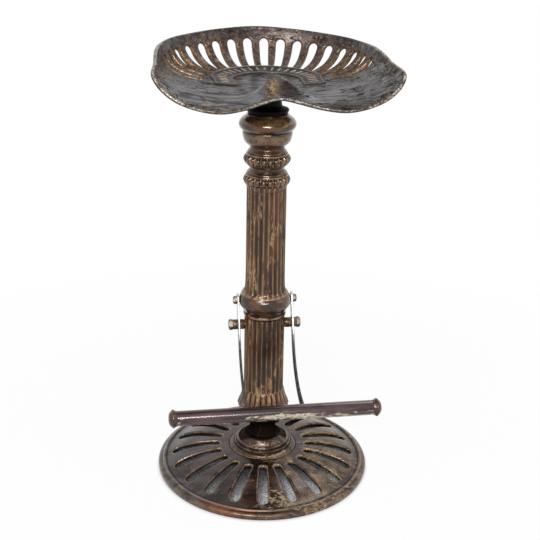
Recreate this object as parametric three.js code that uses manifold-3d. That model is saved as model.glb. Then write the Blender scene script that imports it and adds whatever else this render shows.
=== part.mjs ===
// Tractor seat stool: a cast-iron bucket seat that turns on a fluted column, with a pierced round
// base and a footrest that hangs from the column's collar and folds up in front of it.
// Millimetres, +Z up, the front faces -Y, the origin is on the floor under the column's axis.
import * as THREE from "three";
import { mergeVertices } from "three/addons/utils/BufferGeometryUtils.js";
import Module from "manifold-3d";

const wasm = await Module();
wasm.setup();

// Fits
const REST_GAP = 0.3;
const RUN_GAP = 0.3;
const OVERRUN = 4;

// Base casting: a pierced dome with a moulded hub
const BASE_RADIUS = 195;
const BASE_DOME_HEIGHT = 38;
const BASE_WALL = 7;
const BASE_FLOOR_RING = 9;
const HUB_RADIUS = 59.8;
const HUB_RISE = 25;
const HUB_WEB = 9;
const BASE_SLOT_COUNT = 20;
const BASE_SLOT_HUB_MARGIN = 20.2;
const BASE_SLOT_RIM_MARGIN = 26.5;
// Widths of a slot's ends as shares of the pitch there
const BASE_SLOT_INNER_SHARE = 0.5173;
const BASE_SLOT_OUTER_SHARE = 0.3514;
const BASE_TURN_SHARE = 0.09;

// Column castings, from the bottom up; their radii are shares of the lower column's
const COLUMN_RADIUS = 36;
const COLLAR_RADIUS_SHARE = 1.2722;
const UPPER_RADIUS_SHARE = 0.9556;
const CAPITAL_RADIUS_SHARE = 1.1111;
const CAP_RADIUS_SHARE = 1.3444;
const SEAT_HUB_RADIUS_SHARE = 0.9833;
const SEAT_NECK_RADIUS_SHARE = 0.6333;
const LOWER_COLUMN_HEIGHT = 244.4;
const COLUMN_WALL = 8;
const FOOT_BORE_SHARE = 0.3889;
const COLLAR_HEIGHT = 41.7;
const COLLAR_BORE_SHARE = 0.59;
const UPPER_COLUMN_HEIGHT = 183;
const FLUTE_COUNT = 24;
const FLUTE_DEPTH = 2.6;
const CAPITAL_HEIGHT = 100.4;
const CAPITAL_BORE_SHARE = 0.55;
const CAPITAL_WEB = 8;

// Swivel: cap, bush, washer, hub and spindle
const CAP_HEIGHT = 27.7;
const CAP_SPIGOT = 12;
const SPINDLE_RADIUS = 10;
const SPINDLE_STUD_RADIUS = 8;
const SPINDLE_STUD_LENGTH = 10.5;
const SPINDLE_END = 6.4;
const SPINDLE_CLEARANCE = 9;
const BUSH_WALL = 4;
const THRUST_WASHER_MARGIN = 2.1;
const THRUST_WASHER_THICKNESS = 2;
const SEAT_HUB_HEIGHT = 28.7;

// Seat casting
const SEAT_HALF_WIDTH = 189.4;
const SEAT_REAR = 168;
const SEAT_FRONT = 166.5;
const SEAT_RISE = 75;
const SEAT_WALL = 6;
const SEAT_BOSS_RADIUS = 26;
const SEAT_BOSS_HEIGHT = 10.7;
const POMMEL_RISE = 28;
const POMMEL_WIDTH = 24;
const SEAT_SLOT_COUNT = 18;
const SEAT_SLOT_INNER_WIDTH = 11.5;
const SEAT_SLOT_OUTER_WIDTH = 15.5;
const SEAT_SLOT_MARGIN = 7;
const SEAT_SLOT_RIM = 14;

// Raised horseshoe panel in the seat's bottom, its lettering left out
const PANEL_RISE = 2;
const PANEL_WIDTH_SHARE = 0.5016;
const PANEL_OPENING_SHARE = 0.2957;
const PANEL_ARCH_SHARE = 0.5476;
const PANEL_CENTRE_SHARE = 0.0833;
const PANEL_DROP_SHARE = 0.4674;

// Footrest
const PIVOT_SHARE = 0.5276;
const STRAP_WIDTH = 18;
const STRAP_THICKNESS = 3.2;
const STRAP_HEAD = 12;
const BAR_REACH = 152.4;
const BAR_DROP = 145.1;
const BAR_RADIUS = 12.7;
const BAR_WALL = 2;
const BAR_TUBE_HALF_LENGTH = 166;
const BAR_CAP_RADIUS = 15.6;
const BAR_CAP_LENGTH = 14.5;
const BAR_CAP_PLUG = 12;

// Fasteners
const TIE_ROD_RADIUS = 6;
const TIE_ROD_END = 3.4;
const TIE_NUT_WIDTH = 19;
const TIE_NUT_THICKNESS = 10;
const TIE_WASHER_RADIUS = 14;
const TIE_WASHER_THICKNESS = 2.2;
const SPINDLE_NUT_WIDTH = 30;
const SPINDLE_NUT_THICKNESS = 9;
const SPINDLE_WASHER_MARGIN = 2.5;
const SPINDLE_WASHER_THICKNESS = 2;
const PIVOT_BOLT_RADIUS = 4;
const PIVOT_BOLT_HEAD_WIDTH = 12.6;
const PIVOT_BOLT_HEAD = 6.6;
const STOP_BOLT_RADIUS = 5;
const STOP_BOLT_HEAD_WIDTH = 17;
const STOP_BOLT_HEAD = 6.6;
const STOP_DROP = 47;
const STOP_SLEEVE_RADIUS = 9;
const STOP_SLEEVE_OVERHANG = 8;
const SCREW_RADIUS = 3;
const COLUMN_SCREW_RADIUS = 5.4;
const COLUMN_SCREW_OVERHANG = 1.2;
const COLUMN_SCREW_RISE = 8;

// Facets
const BASE_STEPS = 40;
const COLUMN_STEPS = 28;
const SMALL_STEPS = 12;
const HEX_STEPS = 6;
const ARC_STEPS = 8;
const SLOT_END_STEPS = 3;
const SEAT_STEPS = 48;
const RIM_TRIES_PER_STEP = 12;
const SEAT_SLOPE_SHARE = 0.016;
const MERGE_TOLERANCE = 1e-3;

// Outline of the base's dome: radius as a share of BASE_RADIUS, height of BASE_DOME_HEIGHT. First its
// rim moulding, then the slope that the slots pierce.
const RIM_MOULDING_SHARES = [
  [1, 0],
  [1, 0.224],
  [0.99, 0.285],
  [0.963, 0.345],
  [0.955, 0.405],
  [0.944, 0.41],
  [0.933, 0.38],
  [0.9, 0.395],
];
const DOME_SLOPE_SHARES = [
  [0.81, 0.595],
  [0.744, 0.737],
  [0.631, 0.884],
  [0.45, 0.98],
];
// Outline of the hub: radius as a share of HUB_RADIUS, height of HUB_RISE above the dome
const HUB_SHARES = [
  [1.03, 0.01],
  [1, 0.1],
  [0.925, 0.14],
  [0.85, 0.36],
  [0.8, 0.5],
  [0.752, 0.565],
  [0.669, 0.66],
  [0.602, 0.8],
  [0.53, 1],
];
// Underside of the hub, from the dome's underside to the web: shares of HUB_RADIUS and of the rise
const UNDER_HUB_SHARES = [
  [1, 0],
  [0.77, 0.3],
  [0.57, 0.7],
  [0.42, 1],
];
// Castings of the column: radius share, height share, flute depth share. The lower one is a neck, a
// flare and a fluted shaft under a bead.
const COLUMN_NECK_SHARES = [
  [0.708, 0, 0],
  [0.667, 0.03, 0],
  [0.683, 0.082, 0],
  [0.764, 0.131, 0],
  [0.92, 0.18, 0],
];
const COLUMN_FLARE_SHARES = [
  [1.27, 0.246, 0.3],
  [1.28, 0.262, 0.6],
  [1.183, 0.287, 0.7],
];
const COLUMN_SHAFT_SHARES = [
  [1.08, 0.335, 0.7],
  [1.008, 0.385, 0],
  [1, 0.41, 1],
  [1, 0.955, 1],
  [1, 0.972, 0],
  [1.045, 0.98, 0],
  [1.03, 1, 0],
];
const UPPER_COLUMN_SHARES = [
  [1.03, 0, 0],
  [1.015, 0.03, 1],
  [0.99, 0.955, 1],
  [0.99, 0.985, 0],
  [0.99, 1, 0],
];
const COLLAR_SHARES = [
  [0.79, 0],
  [0.83, 0.1],
  [0.93, 0.29],
  [0.99, 0.4],
  [1, 0.55],
  [0.98, 0.67],
  [0.9, 0.82],
  [0.79, 1],
];
const CAPITAL_SHARES = [
  [0.85, 0],
  [0.85, 0.04],
  [0.97, 0.12],
  [1, 0.176],
  [0.985, 0.215],
  [0.87, 0.275],
  [0.745, 0.335],
  [0.765, 0.385],
  [0.89, 0.45],
  [0.97, 0.515],
  [0.955, 0.56],
  [0.85, 0.625],
  [0.73, 0.705],
  [0.8, 0.755],
  [0.92, 0.795],
  [1.01, 0.86],
  [1.05, 0.92],
  [1.055, 1],
];
const CAP_SHARES = [
  [0.875, 0],
  [0.97, 0.22],
  [1, 0.4],
  [0.965, 0.58],
  [0.878, 0.76],
  [0.755, 0.91],
  [0.71, 1],
];
const SEAT_HUB_SHARES = [
  [0.945, 0],
  [0.98, 0.035],
  [1, 0.13],
  [0.975, 0.2],
  [0.9, 0.235],
  [0.72, 0.26],
];
const SEAT_NECK_SHARES = [
  [1, 0.36],
  [1, 0.92],
  [1.04, 1],
];
// End cap of the foot bar: radius as a share of BAR_CAP_RADIUS, length of BAR_CAP_LENGTH
const BAR_CAP_SHARES = [
  [0.83, 0],
  [0.88, 0.25],
  [1, 0.42],
  [1, 0.5],
  [0.86, 0.72],
  [0.62, 0.92],
  [0, 1],
];
// Seat rim from the rear centre to the front centre, right half: x as a share of SEAT_HALF_WIDTH, y of
// SEAT_REAR behind the axis and of SEAT_FRONT before it, height above the seat's middle of SEAT_RISE
const SEAT_RIM_SHARES = [
  [0, 1, 1],
  [0.317, 0.94, 0.96],
  [0.591, 0.78, 0.9],
  [0.776, 0.577, 0.853],
  [0.887, 0.321, 0.807],
  [0.94, 0.048, 0.773],
  [0.971, -0.4, 0.627],
  [1, -0.8, 0.473],
  [0.952, -0.884, 0.28],
  [0.845, -0.945, 0.053],
  [0.686, -0.988, -0.113],
  [0.5, -1, -0.193],
  [0.317, -0.95, -0.147],
  [0.148, -0.853, -0.053],
  [0, -0.781, 0],
];
// Rings of the seat's grid, from the middle to the rim
const SEAT_RING_SHARES = [0.25, 0.45, 0.62, 0.74, 0.83, 0.9, 0.95, 1];
// Section of the bowl, [steep share, power of the flat part, power of the steep part]
const BOWL_SHARES = [0.66, 1.7, 11];
const FRONT_LIP_SHARES = [0.28, 3.6, 18];
const POMMEL_APEX_SHARE = 0.754;
const POMMEL_BACK_SHARE = 0.3;
const PANEL_FOOT_SHARE = 0.75;
// How far the rim's wall is turned upright at its edge
const RIM_UPRIGHT_SHARE = 0.25;
const SEAT_SLOT_LEAN_SHARE = 0.5;
const SEAT_SLOT_LIFT_SHARE = 0.16;

// Heights of the stack, each piece resting on the one below
const HUB_TOP_Z = BASE_DOME_HEIGHT + HUB_RISE;
const WEB_BOTTOM_Z = HUB_TOP_Z - HUB_WEB;
const LOWER_COLUMN_Z = HUB_TOP_Z + REST_GAP;
const COLLAR_Z = LOWER_COLUMN_Z + LOWER_COLUMN_HEIGHT + REST_GAP;
const UPPER_COLUMN_Z = COLLAR_Z + COLLAR_HEIGHT + REST_GAP;
const CAPITAL_Z = UPPER_COLUMN_Z + UPPER_COLUMN_HEIGHT + REST_GAP;
const CAP_Z = CAPITAL_Z + CAPITAL_HEIGHT + REST_GAP;
const CAP_TOP_Z = CAP_Z + CAP_HEIGHT;
const THRUST_WASHER_Z = CAP_TOP_Z + REST_GAP;
const SEAT_HUB_Z = THRUST_WASHER_Z + THRUST_WASHER_THICKNESS + REST_GAP;
const SEAT_BOSS_Z = SEAT_HUB_Z + SEAT_HUB_HEIGHT + REST_GAP;
const SEAT_MIDDLE_Z = SEAT_BOSS_Z + SEAT_BOSS_HEIGHT + SEAT_WALL;

const PIVOT_Z = COLLAR_Z + PIVOT_SHARE * COLLAR_HEIGHT;
const STOP_Z = PIVOT_Z - STOP_DROP;
const BAR_Z = PIVOT_Z - BAR_DROP;
const SPINDLE_WASHER_Z = CAP_Z - CAP_SPIGOT - REST_GAP - SPINDLE_WASHER_THICKNESS;
const SPINDLE_NUT_Z = SPINDLE_WASHER_Z - REST_GAP - SPINDLE_NUT_THICKNESS;
const SPINDLE_Z = SPINDLE_NUT_Z - SPINDLE_END;
const UPPER_TIE_NUT_Z = SPINDLE_Z - SPINDLE_CLEARANCE - TIE_ROD_END - TIE_NUT_THICKNESS;
const UPPER_TIE_WASHER_Z = UPPER_TIE_NUT_Z - REST_GAP - TIE_WASHER_THICKNESS;
const CAPITAL_WEB_Z = UPPER_TIE_WASHER_Z - REST_GAP - CAPITAL_WEB;
const LOWER_TIE_WASHER_Z = WEB_BOTTOM_Z - REST_GAP - TIE_WASHER_THICKNESS;
const LOWER_TIE_NUT_Z = LOWER_TIE_WASHER_Z - REST_GAP - TIE_NUT_THICKNESS;

// Radii of the stack
const COLLAR_RADIUS = COLLAR_RADIUS_SHARE * COLUMN_RADIUS;
const COLLAR_BORE = COLLAR_BORE_SHARE * COLLAR_RADIUS;
const UPPER_COLUMN_RADIUS = UPPER_RADIUS_SHARE * COLUMN_RADIUS;
const LOWER_BORE = COLUMN_RADIUS - COLUMN_WALL;
const FOOT_BORE = FOOT_BORE_SHARE * COLUMN_RADIUS;
const UPPER_BORE = UPPER_COLUMN_RADIUS - COLUMN_WALL;
const CAPITAL_RADIUS = CAPITAL_RADIUS_SHARE * COLUMN_RADIUS;
const CAPITAL_BORE = CAPITAL_BORE_SHARE * CAPITAL_RADIUS;
const CAP_RADIUS = CAP_RADIUS_SHARE * COLUMN_RADIUS;
const SEAT_HUB_RADIUS = SEAT_HUB_RADIUS_SHARE * COLUMN_RADIUS;
const SEAT_NECK_RADIUS = SEAT_NECK_RADIUS_SHARE * COLUMN_RADIUS;
const THRUST_WASHER_RADIUS = SEAT_HUB_RADIUS - THRUST_WASHER_MARGIN;

// Materials
function metal(color, roughness, metalness) {
  return new THREE.MeshStandardMaterial({ color, roughness, metalness });
}
const castIron = () => metal(0x5a4636, 0.55, 0.7);
const wornIron = () => metal(0x6c5846, 0.5, 0.75);
const gunmetal = () => metal(0x6f7176, 0.42, 0.85);
const steel = () => metal(0x8d8a86, 0.4, 0.9);
const brightSteel = () => metal(0xb9b6b0, 0.3, 0.95);
const bronze = () => metal(0x9a7440, 0.4, 0.9);

// Solids

function signedVolume(positions, index) {
  let sum = 0;
  const a = new THREE.Vector3();
  const b = new THREE.Vector3();
  const c = new THREE.Vector3();
  for (let i = 0; i < index.length; i += 3) {
    a.fromArray(positions, 3 * index[i]);
    b.fromArray(positions, 3 * index[i + 1]);
    c.fromArray(positions, 3 * index[i + 2]);
    sum += a.dot(b.cross(c)) / 6;
  }
  return sum;
}

// A closed geometry as a solid, turned the right way out.
function toSolid(geometry) {
  const bare = new THREE.BufferGeometry();
  bare.setAttribute("position", geometry.getAttribute("position").clone());
  if (geometry.index) bare.setIndex(geometry.index.clone());
  const merged = mergeVertices(bare, MERGE_TOLERANCE);
  const index = Array.from(merged.index.array);
  const kept = [];
  for (let i = 0; i < index.length; i += 3) {
    const [a, b, c] = index.slice(i, i + 3);
    if (a !== b && b !== c && c !== a) kept.push(a, b, c);
  }
  const positions = merged.attributes.position.array;
  if (signedVolume(positions, kept) < 0) kept.reverse();
  return new wasm.Manifold(
    new wasm.Mesh({
      numProp: 3,
      vertProperties: new Float32Array(positions),
      triVerts: new Uint32Array(kept),
    }),
  );
}

function toGeometry(solid) {
  const mesh = solid.getMesh();
  const geometry = new THREE.BufferGeometry();
  geometry.setAttribute("position", new THREE.BufferAttribute(mesh.vertProperties, 3));
  geometry.setIndex(new THREE.BufferAttribute(mesh.triVerts, 1));
  const flat = geometry.toNonIndexed();
  flat.computeVertexNormals();
  return flat;
}

const cut = (body, tools) => tools.reduce((left, tool) => left.subtract(tool), body);

// Body turned about +Z: outline points are [radius, z], closed on themselves.
function turned(outline, steps) {
  const points = outline.map(([radius, z]) => new THREE.Vector2(radius, z));
  if (outline[0][0] > 0) points.push(points[0].clone());
  const geometry = new THREE.LatheGeometry(points, steps);
  geometry.rotateX(Math.PI / 2);
  return toSolid(geometry);
}

// Round bar or disc from z to z + length.
function rod(radius, length, z, steps = SMALL_STEPS) {
  const geometry = new THREE.CylinderGeometry(radius, radius, length, steps);
  geometry.rotateX(Math.PI / 2);
  geometry.translate(0, 0, z + length / 2);
  return geometry;
}

function tube(outer, inner, length, z, steps = SMALL_STEPS) {
  return turned(
    [
      [inner, z],
      [outer, z],
      [outer, z + length],
      [inner, z + length],
    ],
    steps,
  );
}

// Hexagon prism across the given flats.
const hexagon = (width, length, z) => rod(width / Math.sqrt(3), length, z, HEX_STEPS);

// A geometry whose own +Z is laid along +X, starting at x.
function alongX(geometry, x, z) {
  geometry.rotateY(Math.PI / 2);
  geometry.translate(x, 0, z);
  return geometry;
}

// Outline scaled from shares.
const scaled = (shares, radius, height, z) => shares.map(([r, h]) => [r * radius, z + h * height]);

// Height of an outline at a radius, straight between its points.
function heightAt(outline, radius) {
  for (let i = 1; i < outline.length; i += 1) {
    const [r0, z0] = outline[i - 1];
    const [r1, z1] = outline[i];
    if ((r0 - radius) * (r1 - radius) <= 0 && r0 !== r1) {
      return z0 + ((z1 - z0) * (radius - r0)) / (r1 - r0);
    }
  }
  return outline[outline.length - 1][1];
}

// Cutter for a radial slot with round ends. It leans inwards as it rises, by the lean share of its
// height, and has the outer radius at its top.
function slotCutter(innerWidth, outerWidth, innerRadius, outerRadius, turn, bottom, top, lean = 0) {
  const innerRound = innerWidth / 2;
  const outerRound = outerWidth / 2;
  const innerCentre = innerRadius + innerRound;
  const outerCentre = outerRadius - outerRound;
  const taper = Math.asin((outerRound - innerRound) / (outerCentre - innerCentre));
  const shape = new THREE.Shape();
  shape.absarc(outerCentre, 0, outerRound, -Math.PI / 2 - taper, Math.PI / 2 + taper, false);
  shape.absarc(innerCentre, 0, innerRound, Math.PI / 2 + taper, (3 * Math.PI) / 2 - taper, false);
  const geometry = new THREE.ExtrudeGeometry(shape, {
    depth: top - bottom + 2 * OVERRUN,
    bevelEnabled: false,
    curveSegments: SLOT_END_STEPS,
  });
  geometry.translate(0, 0, bottom - OVERRUN);
  const leanInwards = new THREE.Matrix4().set(1, 0, -lean, lean * top, 0, 1, 0, 0, 0, 0, 1, 0, 0, 0, 0, 1);
  geometry.applyMatrix4(leanInwards);
  geometry.rotateZ(turn);
  return toSolid(geometry);
}

// Base casting

function baseCasting() {
  const dome = scaled([...RIM_MOULDING_SHARES, ...DOME_SLOPE_SHARES], BASE_RADIUS, BASE_DOME_HEIGHT, 0);
  const hub = scaled(HUB_SHARES, HUB_RADIUS, HUB_RISE, BASE_DOME_HEIGHT);
  const hole = TIE_ROD_RADIUS + RUN_GAP;
  const domeUnder = scaled(DOME_SLOPE_SHARES, BASE_RADIUS, BASE_DOME_HEIGHT, -BASE_WALL).reverse();
  const underZ = BASE_DOME_HEIGHT - BASE_WALL;
  const hubUnder = scaled(UNDER_HUB_SHARES, HUB_RADIUS, WEB_BOTTOM_Z - underZ, underZ).reverse();
  const ringInner = BASE_RADIUS - BASE_FLOOR_RING;
  const outline = [
    ...dome,
    ...hub,
    [hole, HUB_TOP_Z],
    [hole, WEB_BOTTOM_Z],
    ...hubUnder,
    ...domeUnder,
    [ringInner, heightAt(dome, ringInner) - BASE_WALL],
    [ringInner, 0],
  ];
  const pitch = (2 * Math.PI) / BASE_SLOT_COUNT;
  const start = -Math.PI / 2 + pitch * (1 / 2 + BASE_TURN_SHARE);
  const inner = HUB_RADIUS + BASE_SLOT_HUB_MARGIN;
  const outer = BASE_RADIUS - BASE_SLOT_RIM_MARGIN;
  const innerWidth = BASE_SLOT_INNER_SHARE * pitch * inner;
  const outerWidth = BASE_SLOT_OUTER_SHARE * pitch * outer;
  const slots = Array.from({ length: BASE_SLOT_COUNT }, (_, i) =>
    slotCutter(innerWidth, outerWidth, inner, outer, start + i * pitch, 0, BASE_DOME_HEIGHT),
  );
  return cut(turned(outline, BASE_STEPS), slots);
}

// Columns

// Fluted casting: rings of ridge and groove points, closed at both ends round a stepped bore.
function flutedCasting(shares, radius, height, z, bore) {
  const around = 2 * FLUTE_COUNT;
  const positions = [];
  const ring = (r, h, depth) => {
    for (let i = 0; i < around; i += 1) {
      const angle = (2 * Math.PI * i) / around;
      const reach = r - (i % 2) * depth;
      positions.push(reach * Math.cos(angle), reach * Math.sin(angle), h);
    }
  };
  shares.forEach(([r, h, d]) => ring(r * radius, z + h * height, d * FLUTE_DEPTH));
  bore.forEach(([r, h]) => ring(r, h, 0));
  const rings = shares.length + bore.length;
  const index = [];
  for (let k = 0; k < rings; k += 1) {
    const next = (k + 1) % rings;
    for (let i = 0; i < around; i += 1) {
      const j = (i + 1) % around;
      const a = k * around + i;
      const b = k * around + j;
      const c = next * around + j;
      const d = next * around + i;
      index.push(a, b, c, a, c, d);
    }
  }
  const geometry = new THREE.BufferGeometry();
  geometry.setAttribute("position", new THREE.Float32BufferAttribute(positions, 3));
  geometry.setIndex(index);
  return toSolid(geometry);
}

const STRAP_X = COLLAR_RADIUS + 2 * RUN_GAP;
const STRAP_OUTER_X = STRAP_X + STRAP_THICKNESS;
const STOP_SLEEVE_END = STRAP_OUTER_X + STOP_SLEEVE_OVERHANG;
const STOP_BOLT_START = LOWER_BORE + COLUMN_WALL / 4;
const PIVOT_BOLT_START = COLLAR_BORE + (COLLAR_RADIUS - COLLAR_BORE) / 4;

// A hole along X on one side of the axis, from x outwards.
function sideHole(side, radius, x, length, z) {
  const geometry = alongX(rod(radius, length, 0), x, z);
  if (side < 0) geometry.rotateZ(Math.PI);
  return toSolid(geometry);
}

// A hole along Y, towards the rear for side 1 and towards the front for side -1.
function faceHole(side, radius, y, length, z) {
  const geometry = alongX(rod(radius, length, 0), y, z);
  geometry.rotateZ((side * Math.PI) / 2);
  return toSolid(geometry);
}

function lowerColumn() {
  const top = LOWER_COLUMN_Z + LOWER_COLUMN_HEIGHT;
  const neckTop = COLUMN_NECK_SHARES.at(-1)[1];
  const flareTop = COLUMN_FLARE_SHARES.at(-1)[1];
  const bore = [
    [LOWER_BORE, top],
    [LOWER_BORE, LOWER_COLUMN_Z + flareTop * LOWER_COLUMN_HEIGHT],
    [FOOT_BORE, LOWER_COLUMN_Z + neckTop * LOWER_COLUMN_HEIGHT],
    [FOOT_BORE, LOWER_COLUMN_Z],
  ];
  const body = flutedCasting(
    [...COLUMN_NECK_SHARES, ...COLUMN_FLARE_SHARES, ...COLUMN_SHAFT_SHARES],
    COLUMN_RADIUS,
    LOWER_COLUMN_HEIGHT,
    LOWER_COLUMN_Z,
    bore,
  );
  const holes = [-1, 1].map((side) =>
    sideHole(side, STOP_BOLT_RADIUS + REST_GAP, LOWER_BORE - OVERRUN, COLUMN_WALL + 2 * OVERRUN, STOP_Z),
  );
  return cut(body, holes);
}

function collar() {
  const outline = [
    ...scaled(COLLAR_SHARES, COLLAR_RADIUS, COLLAR_HEIGHT, COLLAR_Z),
    [COLLAR_BORE, COLLAR_Z + COLLAR_HEIGHT],
    [COLLAR_BORE, COLLAR_Z],
  ];
  const length = COLLAR_RADIUS - COLLAR_BORE + 2 * OVERRUN;
  const holes = [-1, 1].map((side) =>
    sideHole(side, PIVOT_BOLT_RADIUS + REST_GAP, COLLAR_BORE - OVERRUN, length, PIVOT_Z),
  );
  return cut(turned(outline, COLUMN_STEPS), holes);
}

const COLUMN_SCREW_Z = UPPER_COLUMN_Z + COLUMN_SCREW_RISE;

function upperColumn() {
  const bore = [
    [UPPER_BORE, UPPER_COLUMN_Z + UPPER_COLUMN_HEIGHT],
    [UPPER_BORE, UPPER_COLUMN_Z],
  ];
  const body = flutedCasting(
    UPPER_COLUMN_SHARES,
    UPPER_COLUMN_RADIUS,
    UPPER_COLUMN_HEIGHT,
    UPPER_COLUMN_Z,
    bore,
  );
  const reach = COLUMN_WALL + 2 * OVERRUN;
  const hole = faceHole(-1, COLUMN_SCREW_RADIUS + REST_GAP, UPPER_BORE - OVERRUN, reach, COLUMN_SCREW_Z);
  return cut(body, [hole]);
}

const CAP_SCREW_Z = CAP_Z - CAP_SPIGOT / 2;
const CAP_SCREW_START = CAPITAL_BORE - CAP_SPIGOT / 4;

function capital() {
  const hole = TIE_ROD_RADIUS + RUN_GAP;
  const top = CAPITAL_Z + CAPITAL_HEIGHT;
  const outline = [
    ...scaled(CAPITAL_SHARES, CAPITAL_RADIUS, CAPITAL_HEIGHT, CAPITAL_Z),
    [CAPITAL_BORE, top],
    [CAPITAL_BORE, CAPITAL_WEB_Z + CAPITAL_WEB],
    [hole, CAPITAL_WEB_Z + CAPITAL_WEB],
    [hole, CAPITAL_WEB_Z],
    [CAPITAL_BORE, CAPITAL_WEB_Z],
    [CAPITAL_BORE, CAPITAL_Z],
  ];
  const length = CAP_RADIUS - CAPITAL_BORE + OVERRUN;
  const screwHole = faceHole(1, SCREW_RADIUS + REST_GAP, CAPITAL_BORE - OVERRUN, length, CAP_SCREW_Z);
  return cut(turned(outline, COLUMN_STEPS), [screwHole]);
}

// Swivel

const BUSH_BORE = SPINDLE_RADIUS + RUN_GAP;
const BUSH_RADIUS = BUSH_BORE + BUSH_WALL;
const SPIGOT_RADIUS = CAPITAL_BORE - REST_GAP;

function swivelCap() {
  const spigotZ = CAP_Z - CAP_SPIGOT;
  const outline = [
    [BUSH_RADIUS + REST_GAP, spigotZ],
    [SPIGOT_RADIUS, spigotZ],
    [SPIGOT_RADIUS, CAP_Z],
    ...scaled(CAP_SHARES, CAP_RADIUS, CAP_HEIGHT, CAP_Z),
    [BUSH_RADIUS + REST_GAP, CAP_TOP_Z],
  ];
  const dimple = CAPITAL_BORE - CAP_SCREW_START + REST_GAP;
  const screwHole = faceHole(1, SCREW_RADIUS + REST_GAP, CAP_SCREW_START - REST_GAP, dimple, CAP_SCREW_Z);
  return cut(turned(outline, COLUMN_STEPS), [screwHole]);
}

const HUB_SCREW_Z = SEAT_HUB_Z + SEAT_HUB_HEIGHT / 2;

function seatHub() {
  const bore = SPINDLE_RADIUS + REST_GAP;
  const outline = [
    ...scaled(SEAT_HUB_SHARES, SEAT_HUB_RADIUS, SEAT_HUB_HEIGHT, SEAT_HUB_Z),
    ...scaled(SEAT_NECK_SHARES, SEAT_NECK_RADIUS, SEAT_HUB_HEIGHT, SEAT_HUB_Z),
    [bore, SEAT_HUB_Z + SEAT_HUB_HEIGHT],
    [bore, SEAT_HUB_Z],
  ];
  const screwHole = faceHole(1, SCREW_RADIUS + REST_GAP, SPINDLE_RADIUS, SEAT_NECK_RADIUS, HUB_SCREW_Z);
  return cut(turned(outline, COLUMN_STEPS), [screwHole]);
}

const SPINDLE_SHOULDER_Z = SEAT_HUB_Z + SEAT_HUB_HEIGHT;

function swivelSpindle() {
  const studTop = SPINDLE_SHOULDER_Z + SPINDLE_STUD_LENGTH;
  const outline = [
    [0, SPINDLE_Z],
    [SPINDLE_RADIUS, SPINDLE_Z],
    [SPINDLE_RADIUS, SPINDLE_SHOULDER_Z],
    [SPINDLE_STUD_RADIUS, SPINDLE_SHOULDER_Z],
    [SPINDLE_STUD_RADIUS, studTop],
    [0, studTop],
  ];
  return turned(outline, SMALL_STEPS);
}

// Nut with a round hole.
function nut(width, thickness, hole, z) {
  const bore = toSolid(rod(hole, thickness + 2 * OVERRUN, z - OVERRUN));
  return cut(toSolid(hexagon(width, thickness, z)), [bore]);
}

// Seat

const seatRim = (() => {
  const half = SEAT_RIM_SHARES.map(([x, y, z]) => {
    const reach = y > 0 ? SEAT_REAR : SEAT_FRONT;
    return new THREE.Vector3(x * SEAT_HALF_WIDTH, y * reach, z * SEAT_RISE);
  });
  const mirrored = half
    .slice(1, -1)
    .reverse()
    .map((p) => new THREE.Vector3(-p.x, p.y, p.z));
  return new THREE.CatmullRomCurve3([...half, ...mirrored], true, "centripetal");
})();

const smoothRise = (share) => Math.sin((Math.PI / 2) * THREE.MathUtils.clamp(share, 0, 1)) ** 2;

// Upper face of the seat at a share of the way from the middle to a point of the rim.
function seatTop(rimPoint, share) {
  const front = Math.max(-rimPoint.y / Math.hypot(rimPoint.x, rimPoint.y), 0);
  const blend = (bowl, i) => THREE.MathUtils.lerp(bowl, FRONT_LIP_SHARES[i], front);
  const [steep, low, high] = BOWL_SHARES.map(blend);
  const rise = (1 - steep) * share ** low + steep * share ** high;
  const x = rimPoint.x * share;
  const y = rimPoint.y * share;
  const beyond = (1 - share) / (1 - POMMEL_APEX_SHARE);
  const before = (share - POMMEL_BACK_SHARE) / (POMMEL_APEX_SHARE - POMMEL_BACK_SHARE);
  const ridge = share > POMMEL_APEX_SHARE ? smoothRise(beyond) : smoothRise(before);
  const pommel = y < 0 ? POMMEL_RISE * ridge * Math.exp(-((x / POMMEL_WIDTH) ** 2)) : 0;
  return new THREE.Vector3(x, y, SEAT_MIDDLE_Z + rimPoint.z * rise + pommel);
}

// Normal of the upper face, from its two directions on the grid.
function seatNormal(t, share) {
  const stepT = 1 / (RIM_TRIES_PER_STEP * SEAT_STEPS);
  const s0 = Math.max(share - SEAT_SLOPE_SHARE, 0);
  const s1 = Math.min(share + SEAT_SLOPE_SHARE, 1);
  const outward = seatTop(seatRim.getPoint(t), s1).sub(seatTop(seatRim.getPoint(t), s0));
  const before = seatTop(seatRim.getPoint((t - stepT + 1) % 1), share);
  const after = seatTop(seatRim.getPoint((t + stepT) % 1), share);
  const normal = outward.cross(after.sub(before));
  return (normal.z < 0 ? normal.negate() : normal).normalize();
}

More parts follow.
